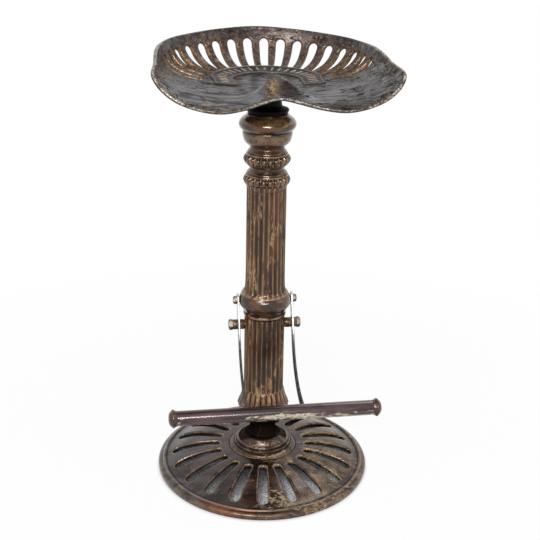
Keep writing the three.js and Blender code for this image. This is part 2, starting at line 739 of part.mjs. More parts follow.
function seatShell() {
  const positions = [];
  const add = (p) => positions.push(p.x, p.y, p.z) / 3 - 1;
  const up = new THREE.Vector3(0, 0, 1);
  const middleTop = add(new THREE.Vector3(0, 0, SEAT_MIDDLE_Z));
  const middleUnder = add(new THREE.Vector3(0, 0, SEAT_MIDDLE_Z - SEAT_WALL));
  const rings = SEAT_RING_SHARES.map((share) => {
    const top = [];
    const under = [];
    for (let i = 0; i < SEAT_STEPS; i += 1) {
      const t = i / SEAT_STEPS;
      const point = seatTop(seatRim.getPoint(t), share);
      const normal = seatNormal(t, share).lerp(up, share === 1 ? RIM_UPRIGHT_SHARE : 0).normalize();
      top.push(add(point));
      under.push(add(point.clone().addScaledVector(normal, -SEAT_WALL)));
    }
    return { top, under };
  });
  const index = [];
  const strip = (a, b) => {
    a.forEach((first, i) => {
      const j = (i + 1) % a.length;
      index.push(first, a[j], b[j], first, b[j], b[i]);
    });
  };
  rings[0].top.forEach((p, i) => index.push(middleTop, rings[0].top[(i + 1) % SEAT_STEPS], p));
  rings[0].under.forEach((p, i) => index.push(middleUnder, p, rings[0].under[(i + 1) % SEAT_STEPS]));
  for (let k = 1; k < rings.length; k += 1) {
    strip(rings[k - 1].top, rings[k].top);
    strip(rings[k].under, rings[k - 1].under);
  }
  const last = rings[rings.length - 1];
  strip(last.top, last.under);
  const geometry = new THREE.BufferGeometry();
  geometry.setAttribute("position", new THREE.Float32BufferAttribute(positions, 3));
  geometry.setIndex(index);
  return toSolid(geometry);
}

// Point of the rim in a direction from the axis.
function rimPointAt(angle) {
  let best = null;
  const tries = RIM_TRIES_PER_STEP * SEAT_STEPS;
  for (let i = 0; i < tries; i += 1) {
    const p = seatRim.getPoint(i / tries);
    const across = p.x * Math.sin(angle) - p.y * Math.cos(angle);
    const along = p.x * Math.cos(angle) + p.y * Math.sin(angle);
    const off = Math.abs(Math.atan2(across, along));
    if (!best || off < best.off) best = { off, p };
  }
  return best.p;
}

const PANEL_HALF_WIDTH = PANEL_WIDTH_SHARE * SEAT_HALF_WIDTH;
const PANEL_OPENING = PANEL_OPENING_SHARE * SEAT_HALF_WIDTH;
const PANEL_ARCH = PANEL_ARCH_SHARE * SEAT_REAR;
const PANEL_CENTRE = PANEL_CENTRE_SHARE * SEAT_REAR;
const PANEL_REAR = PANEL_CENTRE + PANEL_ARCH;

// Slots start a margin outside the panel's outline, which is longer to the rear than to the sides.
function seatSlotCutter(angle) {
  const across = PANEL_HALF_WIDTH + SEAT_SLOT_MARGIN;
  const along = PANEL_REAR + SEAT_SLOT_MARGIN;
  const inner = Math.hypot(across * Math.cos(angle), along * Math.sin(angle));
  const rim = rimPointAt(angle);
  const rise = SEAT_RISE * SEAT_SLOT_LIFT_SHARE;
  return slotCutter(
    SEAT_SLOT_INNER_WIDTH,
    SEAT_SLOT_OUTER_WIDTH,
    inner - SEAT_SLOT_LEAN_SHARE * (rim.z - rise),
    Math.hypot(rim.x, rim.y) - SEAT_SLOT_RIM,
    angle,
    SEAT_MIDDLE_Z - SEAT_WALL,
    SEAT_MIDDLE_Z + rim.z,
    SEAT_SLOT_LEAN_SHARE,
  );
}

// Horseshoe in plan: an arch between two ovals, its feet cut slantwise.
function panelPrism() {
  const foot = Math.asin(PANEL_DROP_SHARE);
  const innerFoot = foot * PANEL_FOOT_SHARE;
  const steps = 2 * ARC_STEPS;
  const arch = (across, along, below) =>
    Array.from({ length: steps + 1 }, (_, i) => {
      const angle = THREE.MathUtils.lerp(-below, Math.PI + below, i / steps);
      return new THREE.Vector2(across * Math.cos(angle), PANEL_CENTRE + along * Math.sin(angle));
    });
  const outer = arch(PANEL_HALF_WIDTH, PANEL_ARCH, foot);
  const points = [...outer, ...arch(PANEL_OPENING, PANEL_OPENING, innerFoot).reverse()];
  const depth = SEAT_RISE + SEAT_WALL;
  const geometry = new THREE.ExtrudeGeometry(new THREE.Shape(points), { depth, bevelEnabled: false });
  geometry.translate(0, 0, SEAT_MIDDLE_Z - SEAT_WALL / 2);
  return toSolid(geometry);
}

function seatCasting() {
  const pitch = Math.PI / (SEAT_SLOT_COUNT - 1);
  const slots = Array.from({ length: SEAT_SLOT_COUNT }, (_, i) => seatSlotCutter(i * pitch));
  const shell = seatShell();
  const panel = shell.translate([0, 0, PANEL_RISE]).intersect(panelPrism());
  const bossTop = SEAT_BOSS_HEIGHT + SEAT_WALL / 2;
  const boss = toSolid(rod(SEAT_BOSS_RADIUS, bossTop, SEAT_BOSS_Z, COLUMN_STEPS));
  const thread = SPINDLE_STUD_RADIUS + REST_GAP;
  const depth = SPINDLE_STUD_LENGTH + REST_GAP;
  const blindHole = toSolid(rod(thread, depth + OVERRUN, SEAT_BOSS_Z - OVERRUN));
  return cut(cut(shell, slots).add(panel).add(boss), [blindHole]);
}

// Footrest

const SEAT_ON_SLEEVE = STOP_SLEEVE_RADIUS + REST_GAP + STRAP_WIDTH / 2;
const STRAP_LEAN = Math.asin(SEAT_ON_SLEEVE / STOP_DROP);

// Radius of the bend that takes a strap from its lean to level at the bar's back.
const LEAN_SIN = Math.sin(STRAP_LEAN);
const LEAN_COS = Math.cos(STRAP_LEAN);
const STRAP_BEND_RADIUS = ((BAR_REACH - BAR_RADIUS) * LEAN_COS - BAR_DROP * LEAN_SIN) / (1 - LEAN_SIN);

// Side view of a strap: straight from its head past the stop, then bent forward to the bar's back.
function strapShape() {
  const half = STRAP_WIDTH / 2;
  const straight = (BAR_DROP - STRAP_BEND_RADIUS * (1 - LEAN_SIN)) / LEAN_COS;
  const down = new THREE.Vector2(-LEAN_SIN, -LEAN_COS);
  const side = new THREE.Vector2(-down.y, down.x);
  const bend = down.clone().multiplyScalar(straight);
  const centre = bend.clone().addScaledVector(side, -STRAP_BEND_RADIUS);
  const start = -STRAP_LEAN;
  const sweep = Math.PI / 2 - STRAP_LEAN;
  const head = down.clone().multiplyScalar(half - STRAP_HEAD);
  const outline = [];
  for (let i = 0; i <= SLOT_END_STEPS * 2; i += 1) {
    const angle = -STRAP_LEAN + (Math.PI * i) / (SLOT_END_STEPS * 2);
    outline.push(new THREE.Vector2(head.x + half * Math.cos(angle), head.y + half * Math.sin(angle)));
  }
  const arc = (radius, from, to) => {
    for (let i = 0; i <= ARC_STEPS; i += 1) {
      const angle = start - THREE.MathUtils.lerp(from, to, i / ARC_STEPS) * sweep;
      const reach = new THREE.Vector2(radius * Math.cos(angle), radius * Math.sin(angle));
      outline.push(reach.add(centre));
    }
  };
  arc(STRAP_BEND_RADIUS - half, 0, 1);
  const endZ = centre.y - STRAP_BEND_RADIUS;
  for (let i = 0; i <= ARC_STEPS; i += 1) {
    const z = THREE.MathUtils.lerp(half, -half, i / ARC_STEPS);
    const y = -BAR_REACH + Math.sqrt((BAR_RADIUS + REST_GAP) ** 2 - z ** 2);
    outline.push(new THREE.Vector2(y, endZ + z));
  }
  arc(STRAP_BEND_RADIUS + half, 1, 0);
  return new THREE.Shape(outline);
}

// Strap in the plane across the axis, its inner face at x, with the pivot hole.
function strap(x) {
  const geometry = new THREE.ExtrudeGeometry(strapShape(), { depth: STRAP_THICKNESS, bevelEnabled: false });
  const toStool = new THREE.Matrix4().set(0, 0, 1, x, 1, 0, 0, 0, 0, 1, 0, PIVOT_Z, 0, 0, 0, 1);
  geometry.applyMatrix4(toStool);
  const drill = rod(PIVOT_BOLT_RADIUS + RUN_GAP, STRAP_THICKNESS + 2 * OVERRUN, 0);
  return cut(toSolid(geometry), [toSolid(alongX(drill, x - OVERRUN, PIVOT_Z))]);
}

function barTube() {
  const length = 2 * BAR_TUBE_HALF_LENGTH;
  const geometry = toGeometry(tube(BAR_RADIUS, BAR_RADIUS - BAR_WALL, length, -BAR_TUBE_HALF_LENGTH));
  return alongX(geometry, 0, 0);
}

// Turned end cap with a plug that enters the tube; its own +Z points outwards.
function barCap() {
  const plug = BAR_RADIUS - BAR_WALL - REST_GAP;
  const outline = [
    [0, -BAR_CAP_PLUG],
    [plug, -BAR_CAP_PLUG],
    [plug, REST_GAP],
    ...scaled(BAR_CAP_SHARES, BAR_CAP_RADIUS, BAR_CAP_LENGTH, REST_GAP),
  ];
  return toGeometry(turned(outline, SMALL_STEPS));
}

// Bolt along +Z: a shank that ends inside its hexagon head.
function bolt(radius, shank, headWidth, head) {
  const shankBody = toSolid(rod(radius, shank + head / 2, 0));
  const headBody = toSolid(hexagon(headWidth, head, shank));
  return toGeometry(shankBody.add(headBody));
}

// Assembly

const stool = new THREE.Group();
const footrest = new THREE.Group();
stool.add(footrest);

function place(group, name, geometry, material, position = [0, 0, 0], rotation = [0, 0, 0]) {
  const mesh = new THREE.Mesh(geometry, material);
  mesh.name = name;
  mesh.position.set(...position);
  mesh.rotation.set(...rotation);
  group.add(mesh);
  return mesh;
}

const SIDES = [
  ["left", -1],
  ["right", 1],
];
const outwards = (side) => [0, (side * Math.PI) / 2, 0];

place(stool, "base_casting", toGeometry(baseCasting()), castIron());
place(stool, "lower_column", toGeometry(lowerColumn()), wornIron());
place(stool, "collar_ring", toGeometry(collar()), castIron());
place(stool, "upper_column", toGeometry(upperColumn()), wornIron());
place(stool, "capital", toGeometry(capital()), castIron());
place(stool, "swivel_cap", toGeometry(swivelCap()), castIron());

// Screw that locks the upper column, its end just proud of the front flutes
const columnScrewReach = UPPER_BORE + REST_GAP;
place(
  stool,
  "column_screw",
  rod(COLUMN_SCREW_RADIUS, COLUMN_WALL + COLUMN_SCREW_OVERHANG, 0),
  steel(),
  [0, -columnScrewReach, COLUMN_SCREW_Z],
  [Math.PI / 2, 0, 0],
);

// Tie rod that clamps the castings between the base's hub and the capital's web
const tieRodZ = LOWER_TIE_NUT_Z - TIE_ROD_END;
const tieRodLength = UPPER_TIE_NUT_Z + TIE_NUT_THICKNESS + TIE_ROD_END - tieRodZ;
const tieHole = TIE_ROD_RADIUS + RUN_GAP;
place(stool, "tie_rod", rod(TIE_ROD_RADIUS, tieRodLength, tieRodZ), steel());
const tieWasher = (z) => toGeometry(tube(TIE_WASHER_RADIUS, tieHole, TIE_WASHER_THICKNESS, z));
const tieNut = (z) => toGeometry(nut(TIE_NUT_WIDTH, TIE_NUT_THICKNESS, tieHole, z));
place(stool, "tie_washer_lower", tieWasher(LOWER_TIE_WASHER_Z), steel());
place(stool, "tie_nut_lower", tieNut(LOWER_TIE_NUT_Z), steel());
place(stool, "tie_washer_upper", tieWasher(UPPER_TIE_WASHER_Z), steel());
place(stool, "tie_nut_upper", tieNut(UPPER_TIE_NUT_Z), steel());

// Swivel
const bushZ = CAP_Z - CAP_SPIGOT;
const bushLength = CAP_TOP_Z - bushZ;
place(stool, "swivel_bush", toGeometry(tube(BUSH_RADIUS, BUSH_BORE, bushLength, bushZ)), bronze());
const thrustWasher = tube(
  THRUST_WASHER_RADIUS,
  SPINDLE_RADIUS + RUN_GAP,
  THRUST_WASHER_THICKNESS,
  THRUST_WASHER_Z,
  COLUMN_STEPS,
);
place(stool, "thrust_washer", toGeometry(thrustWasher), bronze());
place(stool, "seat_hub", toGeometry(seatHub()), castIron());
place(stool, "swivel_spindle", toGeometry(swivelSpindle()), steel());
const spindleWasher = tube(
  CAPITAL_BORE - SPINDLE_WASHER_MARGIN,
  SPINDLE_RADIUS + RUN_GAP,
  SPINDLE_WASHER_THICKNESS,
  SPINDLE_WASHER_Z,
);
place(stool, "spindle_washer", toGeometry(spindleWasher), steel());
const spindleNut = nut(SPINDLE_NUT_WIDTH, SPINDLE_NUT_THICKNESS, SPINDLE_RADIUS + REST_GAP, SPINDLE_NUT_Z);
place(stool, "spindle_nut", toGeometry(spindleNut), steel());
place(stool, "seat_casting", toGeometry(seatCasting()), gunmetal());

// Grub screws at the rear: one holds the cap's spigot, one locks the seat hub to the spindle
const grubScrew = (length) => rod(SCREW_RADIUS, length, 0, SMALL_STEPS);
const toRear = [-Math.PI / 2, 0, 0];
const capScrewLength = CAPITAL_RADIUS - CAP_SCREW_START;
place(stool, "cap_screw", grubScrew(capScrewLength), steel(), [0, CAP_SCREW_START, CAP_SCREW_Z], toRear);
const hubScrewStart = SPINDLE_RADIUS + REST_GAP;
const hubScrewLength = SEAT_NECK_RADIUS - hubScrewStart - REST_GAP;
place(stool, "hub_screw", grubScrew(hubScrewLength), steel(), [0, hubScrewStart, HUB_SCREW_Z], toRear);

// Footrest pivots and stops on the column
const pivotShank = STRAP_OUTER_X + REST_GAP - PIVOT_BOLT_START;
const stopShank = STOP_SLEEVE_END + REST_GAP - STOP_BOLT_START;
const sleeveStart = COLUMN_RADIUS + REST_GAP;
for (const [name, side] of SIDES) {
  const turn = outwards(side);
  const pivotBolt = bolt(PIVOT_BOLT_RADIUS, pivotShank, PIVOT_BOLT_HEAD_WIDTH, PIVOT_BOLT_HEAD);
  const pivotStart = [side * PIVOT_BOLT_START, 0, PIVOT_Z];
  place(stool, `pivot_bolt_${name}`, pivotBolt, steel(), pivotStart, turn);
  const stopBolt = bolt(STOP_BOLT_RADIUS, stopShank, STOP_BOLT_HEAD_WIDTH, STOP_BOLT_HEAD);
  place(stool, `stop_bolt_${name}`, stopBolt, steel(), [side * STOP_BOLT_START, 0, STOP_Z], turn);
  const sleeveBore = STOP_BOLT_RADIUS + REST_GAP;
  const sleeve = tube(STOP_SLEEVE_RADIUS, sleeveBore, STOP_SLEEVE_END - sleeveStart, 0);
  place(stool, `stop_sleeve_${name}`, toGeometry(sleeve), wornIron(), [side * sleeveStart, 0, STOP_Z], turn);
}

// Footrest
for (const [name, side] of SIDES) {
  const innerX = side > 0 ? STRAP_X : -STRAP_OUTER_X;
  place(footrest, `foot_arm_${name}`, toGeometry(strap(innerX)), brightSteel());
  const capPosition = [side * BAR_TUBE_HALF_LENGTH, -BAR_REACH, BAR_Z];
  place(footrest, `foot_bar_cap_${name}`, barCap(), wornIron(), capPosition, outwards(side));
}
place(footrest, "foot_bar", barTube(), brightSteel(), [0, -BAR_REACH, BAR_Z]);

export default stool;
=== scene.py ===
"""A cast-iron stool with a tractor seat, as it looks: surfaces worked out from outlines, grids and paths,
with patinated finishes. The pieces' lengths are millimetres. Finishes, floor, lamps and camera are in
metres. +Z is up and the seat's front faces -Y."""
from functools import cached_property
from math import asin, cos, pi, radians, sin

import bmesh
import bpy
import numpy as np
from mathutils import Matrix, Vector


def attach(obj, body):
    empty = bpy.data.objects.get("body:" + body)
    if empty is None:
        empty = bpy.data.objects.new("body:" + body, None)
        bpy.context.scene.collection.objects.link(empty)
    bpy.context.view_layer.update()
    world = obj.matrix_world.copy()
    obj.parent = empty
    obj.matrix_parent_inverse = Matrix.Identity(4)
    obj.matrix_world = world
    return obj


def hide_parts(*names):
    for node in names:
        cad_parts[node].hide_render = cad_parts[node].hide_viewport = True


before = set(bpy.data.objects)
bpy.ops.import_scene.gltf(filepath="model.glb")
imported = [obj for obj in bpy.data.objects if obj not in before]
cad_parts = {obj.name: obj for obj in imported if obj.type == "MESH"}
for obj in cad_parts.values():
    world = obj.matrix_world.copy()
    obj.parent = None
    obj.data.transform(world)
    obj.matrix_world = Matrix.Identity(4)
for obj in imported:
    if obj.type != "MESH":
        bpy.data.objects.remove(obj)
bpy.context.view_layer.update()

MM = 0.001
MERGE_DISTANCE = 2e-6
WHOLE_TURN = 2 * pi
QUARTER_TURN = pi / 2

# Numbers and grids


def lerp(first, last, share):
    """The first value, plus the share of the way to the last."""
    return first + (last - first) * share


def smooth(share):
    """Smooth step: 3 s squared minus 2 s cubed of the share, held between 0 and 1."""
    s = np.clip(share, 0, 1)
    return s * s * (3 - 2 * s)


def bell(value, middle, width):
    """Bell curve: e to the power of minus the square of the distance from the middle over the width."""
    return np.exp(-(((value - middle) / width) ** 2))


def to_points(*axes):
    """Coordinates along each axis, spread over one grid, as an array of points."""
    return np.stack(np.broadcast_arrays(*axes), -1)


def turn_angles(steps, start=0.0):
    """Even steps round a whole turn."""
    return start + WHOLE_TURN * np.arange(steps) / steps


def round_axis(radius, height, angle):
    """Points about the upright axis: the radius times the angle's cosine and sine, and the height."""
    return to_points(radius * np.cos(angle), radius * np.sin(angle), height)


def turn_grid(outline, steps, start=0.0):
    """Radius and height pairs turned about the upright axis, one row for each pair."""
    return round_axis(outline[:, :1], outline[:, 1:], turn_angles(steps, start))


def along_x(grid, side, centre):
    """A grid built about the upright axis, laid along X outwards on one side, from the centre."""
    x, y, z = grid[..., 0], grid[..., 1], grid[..., 2]
    return np.stack([side * z, y, -side * x], -1) + np.asarray(centre, float)


def cut_corners(points, rounds=2):
    """Corner cutting: every side keeps the points a quarter and three quarters of the way along it, and the
    two ends stay where they are."""
    line = np.asarray(points, float)
    for _ in range(rounds):
        first, last = line[:-1], line[1:]
        inner = np.stack([0.75 * first + 0.25 * last, 0.25 * first + 0.75 * last], 1)
        line = np.vstack([line[:1], inner.reshape(-1, line.shape[1]), line[-1:]])
    return line


def spread(line, count):
    """The line again with evenly spaced points along its length."""
    length = np.concatenate([[0], np.cumsum(np.linalg.norm(np.diff(line, axis=0), axis=1))])
    at = np.linspace(0, length[-1], count)
    return np.stack([np.interp(at, length, line[:, k]) for k in range(line.shape[1])], -1)


def grid_faces(rows, columns, around=True, over=False):
    """Quads between neighbouring rows and columns of a grid of points counted row by row. `around` joins
    the last column to the first, `over` the last row to the first."""
    i = np.arange(rows if over else rows - 1)[:, None]
    j = np.arange(columns if around else columns - 1)[None, :]
    i1, j1 = (i + 1) % rows, (j + 1) % columns
    return to_points(i * columns + j, i * columns + j1, i1 * columns + j1, i1 * columns + j).reshape(-1, 4)


# Pieces


def make_piece(name, parts, body, slot, finish, stands_for=(), crease=45, marks=None):
    """One mesh from parts, each a grid of points with its quads. Equal points are merged, so that seams and
    poles close, and the faces are turned outwards. `marks` gives each mark's values, one array for each
    part, and `crease` is the angle in degrees above which an edge stays sharp."""
    starts = np.cumsum([0] + [np.size(grid) // 3 for grid, _ in parts])
    points = np.concatenate([np.reshape(grid, (-1, 3)) for grid, _ in parts]) * MM
    faces = np.concatenate([quads + start for (_, quads), start in zip(parts, starts)])
    mesh = bpy.data.meshes.new(name)
    mesh.from_pydata(points.tolist(), [], faces.tolist())
    for mark, values in (marks or {}).items():
        layer = mesh.attributes.new(mark, "FLOAT", "POINT")
        layer.data.foreach_set("value", np.concatenate([np.ravel(v) for v in values]).astype(np.float32))
    work = bmesh.new()
    work.from_mesh(mesh)
    bmesh.ops.remove_doubles(work, verts=work.verts, dist=MERGE_DISTANCE)
    bmesh.ops.recalc_face_normals(work, faces=work.faces)
    work.to_mesh(mesh)
    work.free()
    mesh.shade_smooth()
    mesh.set_sharp_from_angle(angle=radians(crease))
    mesh.materials.append(finish)
    piece = bpy.data.objects.new(name, mesh)
    bpy.context.scene.collection.objects.link(piece)
    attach(piece, body)
    if stands_for:
        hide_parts(*stands_for)
    return piece


def turned_piece(name, outline, steps, *place, rounds=2, lay=None, worn=None, **more):
    """A body turned from radius and height pairs with their corners cut, a closed round where the last pair
    is the first. `place` is the rest of make_piece's arguments, `lay` the side and the centre of a piece
    that lies along X, and `worn` gives the worn places on the grid, with painted light among them on the
    swivel cap."""
    line = cut_corners(outline, rounds)
    closed = np.allclose(line[0], line[-1])
    grid = turn_grid(line[:-1] if closed else line, steps)
    if lay:
        grid = along_x(grid, *lay)
    if worn:
        more["marks"] = {"wear_and_light": [worn(grid)]}
    return make_piece(name, [(grid, grid_faces(len(grid), steps, over=closed))], *place, **more)


# Finishes


def tint(red, green, blue):
    """A display colour of 0 to 255 as the linear colour that shaders take."""
    value = np.array([red, green, blue]) / 255
    linear = np.where(value > 0.04045, ((value + 0.055) / 1.055) ** 2.4, value / 12.92)
    return (*linear.tolist(), 1.0)


def linear_grey(value):
    """A grey by its linear value."""
    return (value, value, value, 1.0)


WHITE = linear_grey(1.0)


class Nodes:
    """The nodes of a material or of the world. Most methods add some and give back an output socket."""

    def __init__(self, owner):
        owner.use_nodes = True
        self.nodes, self.links = owner.node_tree.nodes, owner.node_tree.links

    def put(self, socket, value):
        """Fills a socket with another one, a number, a linear colour or three display values of 0 to
        255."""
        if isinstance(value, bpy.types.NodeSocket):
            self.links.new(value, socket)
        elif isinstance(value, tuple) and len(value) == 3:
            socket.default_value = tint(*value)
        else:
            socket.default_value = value

    def add(self, kind, *values, **settings):
        """A node of a kind with its settings, whose first sockets take the values."""
        node = self.nodes.new("ShaderNode" + kind)
        for setting, value in settings.items():
            setattr(node, setting, value)
        for socket, value in zip(node.inputs, values):
            self.put(socket, value)
        return node

    @cached_property
    def place(self):
        """The point's own coordinates on the object, in metres."""
        return self.add("TexCoord").outputs["Object"]

    def along(self, axis):
        """The place's distance along X, Y or Z, for axis 0, 1 or 2."""
        return self.add("SeparateXYZ", self.place).outputs[axis]

    def spot(self, stretch, shift=(0, 0, 0)):
        """The place stretched along each axis and shifted, for another pattern of the same kind."""
        node = self.add("Mapping", self.place)
        node.inputs["Scale"].default_value = stretch
        node.inputs["Location"].default_value = shift
        return node.outputs[0]

    def maths(self, operation, first, second=0.0):
        return self.add("Math", first, second, operation=operation).outputs[0]

    def fold(self, operation, values):
        """One operation over the first value and each of the others in turn."""
        total, *others = values
        for value in others:
            total = self.maths(operation, total, value)
        return total

    def product(self, *values):
        return self.fold("MULTIPLY", values)

    def most(self, *values):
        return self.fold("MAXIMUM", values)

    def band(self, value, low, high, at_low=0.0, at_high=1.0, shape="SMOOTHSTEP"):
        """The value carried from the range low..high to at_low..at_high, by a smooth step or a LINEAR
        one."""
        node = self.add("MapRange", value, low, high, at_low, at_high, interpolation_type=shape)
        return node.outputs["Result"]

    def mix(self, share, first, second):
        """The second colour laid over the first by a share."""
        node = self.add("Mix", share, data_type="RGBA")
        self.put(node.inputs[6], first)
        self.put(node.inputs[7], second)
        return node.outputs[2]

    def noise(self, size, detail=4.0, rough=0.6, twist=0.0, where=None):
        """Noise whose features measure about `size` metres."""
        node = self.add("TexNoise", where or self.place)
        node.inputs["Scale"].default_value = 1 / size
        node.inputs["Detail"].default_value = detail
        node.inputs["Roughness"].default_value = rough
        node.inputs["Distortion"].default_value = twist
        return node.outputs["Fac"]

    def strokes(self, size, width, where=None, twist=0.8):
        """Thin wandering lines: where a noise is within `width` of its middle value."""
        off = self.maths("ABSOLUTE", self.maths("SUBTRACT", self.noise(size, 2.0, 0.5, twist, where), 0.5))
        return self.band(off, 0.0, width, 1.0, 0.0)

    def seen_by(self, *rays):
        """1 for rays of the named kinds, 0 for the others, which carry light."""
        path = self.add("LightPath").outputs
        return self.most(*(path[f"Is {ray} Ray"] for ray in rays))


class Finish(Nodes):
    """A procedural material, whose colour is laid on coat by coat."""

    def __init__(self, name, metallic=0.5, specular=0.3):
        self.material = bpy.data.materials.new(name)
        super().__init__(self.material)
        self.shader = self.nodes["Principled BSDF"]
        self.put(self.shader.inputs["Metallic"], metallic)
        self.put(self.shader.inputs["Specular IOR Level"], specular)

    def mark(self, name):
        """A mark that the mesh carries, from 0 to 1."""
        return self.add("Attribute", attribute_name=name).outputs["Fac"]

    def paint(self, colour, *shares):
        """Lays a colour over the one so far, by the product of the shares."""
        self.colour = self.mix(self.product(*shares), self.colour, colour)

    def relief(self, *layers):
        """Bump from layers of (value, depth in metres), laid one over the other."""
        normal = None
        for value, depth in layers:
            node = self.add("Bump")
            node.inputs["Strength"].default_value = 1.0
            node.inputs["Distance"].default_value = depth
            self.put(node.inputs["Height"], value)
            if normal:
                self.put(node.inputs["Normal"], normal)
            normal = node.outputs["Normal"]
        self.put(self.shader.inputs["Normal"], normal)

    def fade_shine(self, dull, left):
        """Metal and shine fall to what is left of them where `dull` is 1."""
        for name in ("Metallic", "Specular IOR Level"):
            socket = self.shader.inputs[name]
            self.put(socket, self.band(dull, 0.0, 1.0, socket.default_value, left))

    def wax(self, dull, share, roughness):
        """A clear coat over a share of the surface. Where `dull` is 1 there is none and nothing shines."""
        self.put(self.shader.inputs["Coat Weight"], self.band(dull, 0.0, 0.8, share, 0.03))
        self.put(self.shader.inputs["Coat Roughness"], roughness)
        self.fade_shine(dull, 0.0)

    def done(self, smoothest, roughest, value, dull, added):
        """The material, its roughness between two bounds by a value, with an amount added where it is
        dull."""
        rough = self.band(value, 0.3, 0.7, smoothest, roughest)
        if dull:
            rough = self.maths("ADD", rough, self.product(dull, added))
        self.put(self.shader.inputs["Roughness"], rough)
        self.put(self.shader.inputs["Base Color"], self.colour)
        return self.material


# near black for sooty hollows and for painted shade
SOOT_AND_SHADE = (13, 11, 10)


def aged_iron(name, deep, body, pale, fleck, patch=0.024, gloss=(0.2, 0.38), stretch=(1, 1, 1), bare=0.6,
              bare_from=None, rust=None, sheen=None, waxed=0.8):
    """Patinated iron under wax: patches of a deep and a body brown, places flaked to the fleck colour where
    a noise passes `bare`, pale metal on worn edges and on painted highlights, and near black in sooty
    hollows and on painted shade. `bare_from` is where along X the flaking sets in, and a sheen colour, if
    given, is a painted bluish reflection on the left side."""
    f = Finish(name, specular=0.1)
    where = f.spot(stretch)
    patches = f.noise(patch, 5, 0.62, 0.6, where)
    grain = f.noise(patch / 8, 6, 0.7, 0.3, where)
    soot_and_shade = f.mark("soot_and_shade")
    f.colour = f.mix(f.band(patches, 0.4, 0.6), deep, body)
    if sheen:
        # painted reflection: a bluish grey sheen on the left side
        f.paint(sheen, f.band(f.along(0), -0.15, -0.02, 0.75, 0.0), f.band(patches, 0.42, 0.6))
    if rust:
        f.paint(rust, f.mark("rust"), f.band(grain, 0.35, 0.55))
    places = f.noise(patch * 0.9, 6, 0.7, 0.8, f.spot(stretch, shift=(3, 1, 2)))
    flaked = f.product(f.band(places, bare, bare + 0.07), f.band(grain, 0.46, 0.56))
    if bare_from is not None:
        flaked = f.product(flaked, f.band(f.along(0), bare_from, bare_from + 0.08, 0.12, 1.0))
    f.paint(fleck, flaked, 0.75)
    # pale on the marked places: worn edges, and painted highlights on the lobes' ends and the eggs' crowns,
    # and painted light on the cap's shoulder
    f.paint(pale, f.mark("wear_and_light"), f.band(f.noise(patch / 2.6, 4, 0.65, 0.4, where), 0.36, 0.56), 0.9)
    # near black on the marked places: sooty hollows, and painted shade on the lower column's neck and round
    # the column's foot on the base
    f.paint(SOOT_AND_SHADE, soot_and_shade, 0.96)
    f.wax(f.most(soot_and_shade, f.product(flaked, 0.7)), waxed, 0.2)
    f.relief((patches, 0.0006), (grain, 0.00012), (flaked, 0.0002))
    return f.done(*gloss, grain, f.most(flaked, soot_and_shade), 0.25)


# the sheen colour below is a painted reflection on the dome's left side
base_finish = aged_iron("aged iron of the base", deep=(31, 20, 16), body=(62, 39, 28), pale=(142, 118, 88),
                        fleck=(172, 154, 126), patch=0.03, gloss=(0.17, 0.32), stretch=(0.5, 1, 1),
                        bare=0.515, bare_from=-0.07, rust=(112, 46, 32), sheen=(74, 72, 76), waxed=0.6)
column_finish = aged_iron("worn iron of the columns", deep=(54, 35, 24), body=(96, 61, 36),
                          pale=(154, 120, 82), fleck=(190, 162, 122), patch=0.02, stretch=(1, 1, 0.2),
                          gloss=(0.26, 0.42), bare=0.53)
capital_finish = aged_iron("waxed iron of the capital", deep=(48, 33, 25), body=(88, 60, 41),
                           pale=(166, 134, 96), fleck=(150, 122, 86), patch=0.018, gloss=(0.16, 0.3),
                           stretch=(0.6, 1, 1), bare=0.62)
# near-black colours: painted shade for the seat's boss, neck and thrust washer under the seat
shade_dark_hub_finish = aged_iron("dark iron of the hub", deep=(8, 7, 7), body=(16, 13, 12), pale=(34, 28, 24),
                       fleck=(60, 50, 42), gloss=(0.5, 0.64), bare=0.7, waxed=0.04)

SEAT_MARKS = ("rim", "rib", "wall", "under", "ridge", "shaded_flank", "lip", "sheen", "apron")


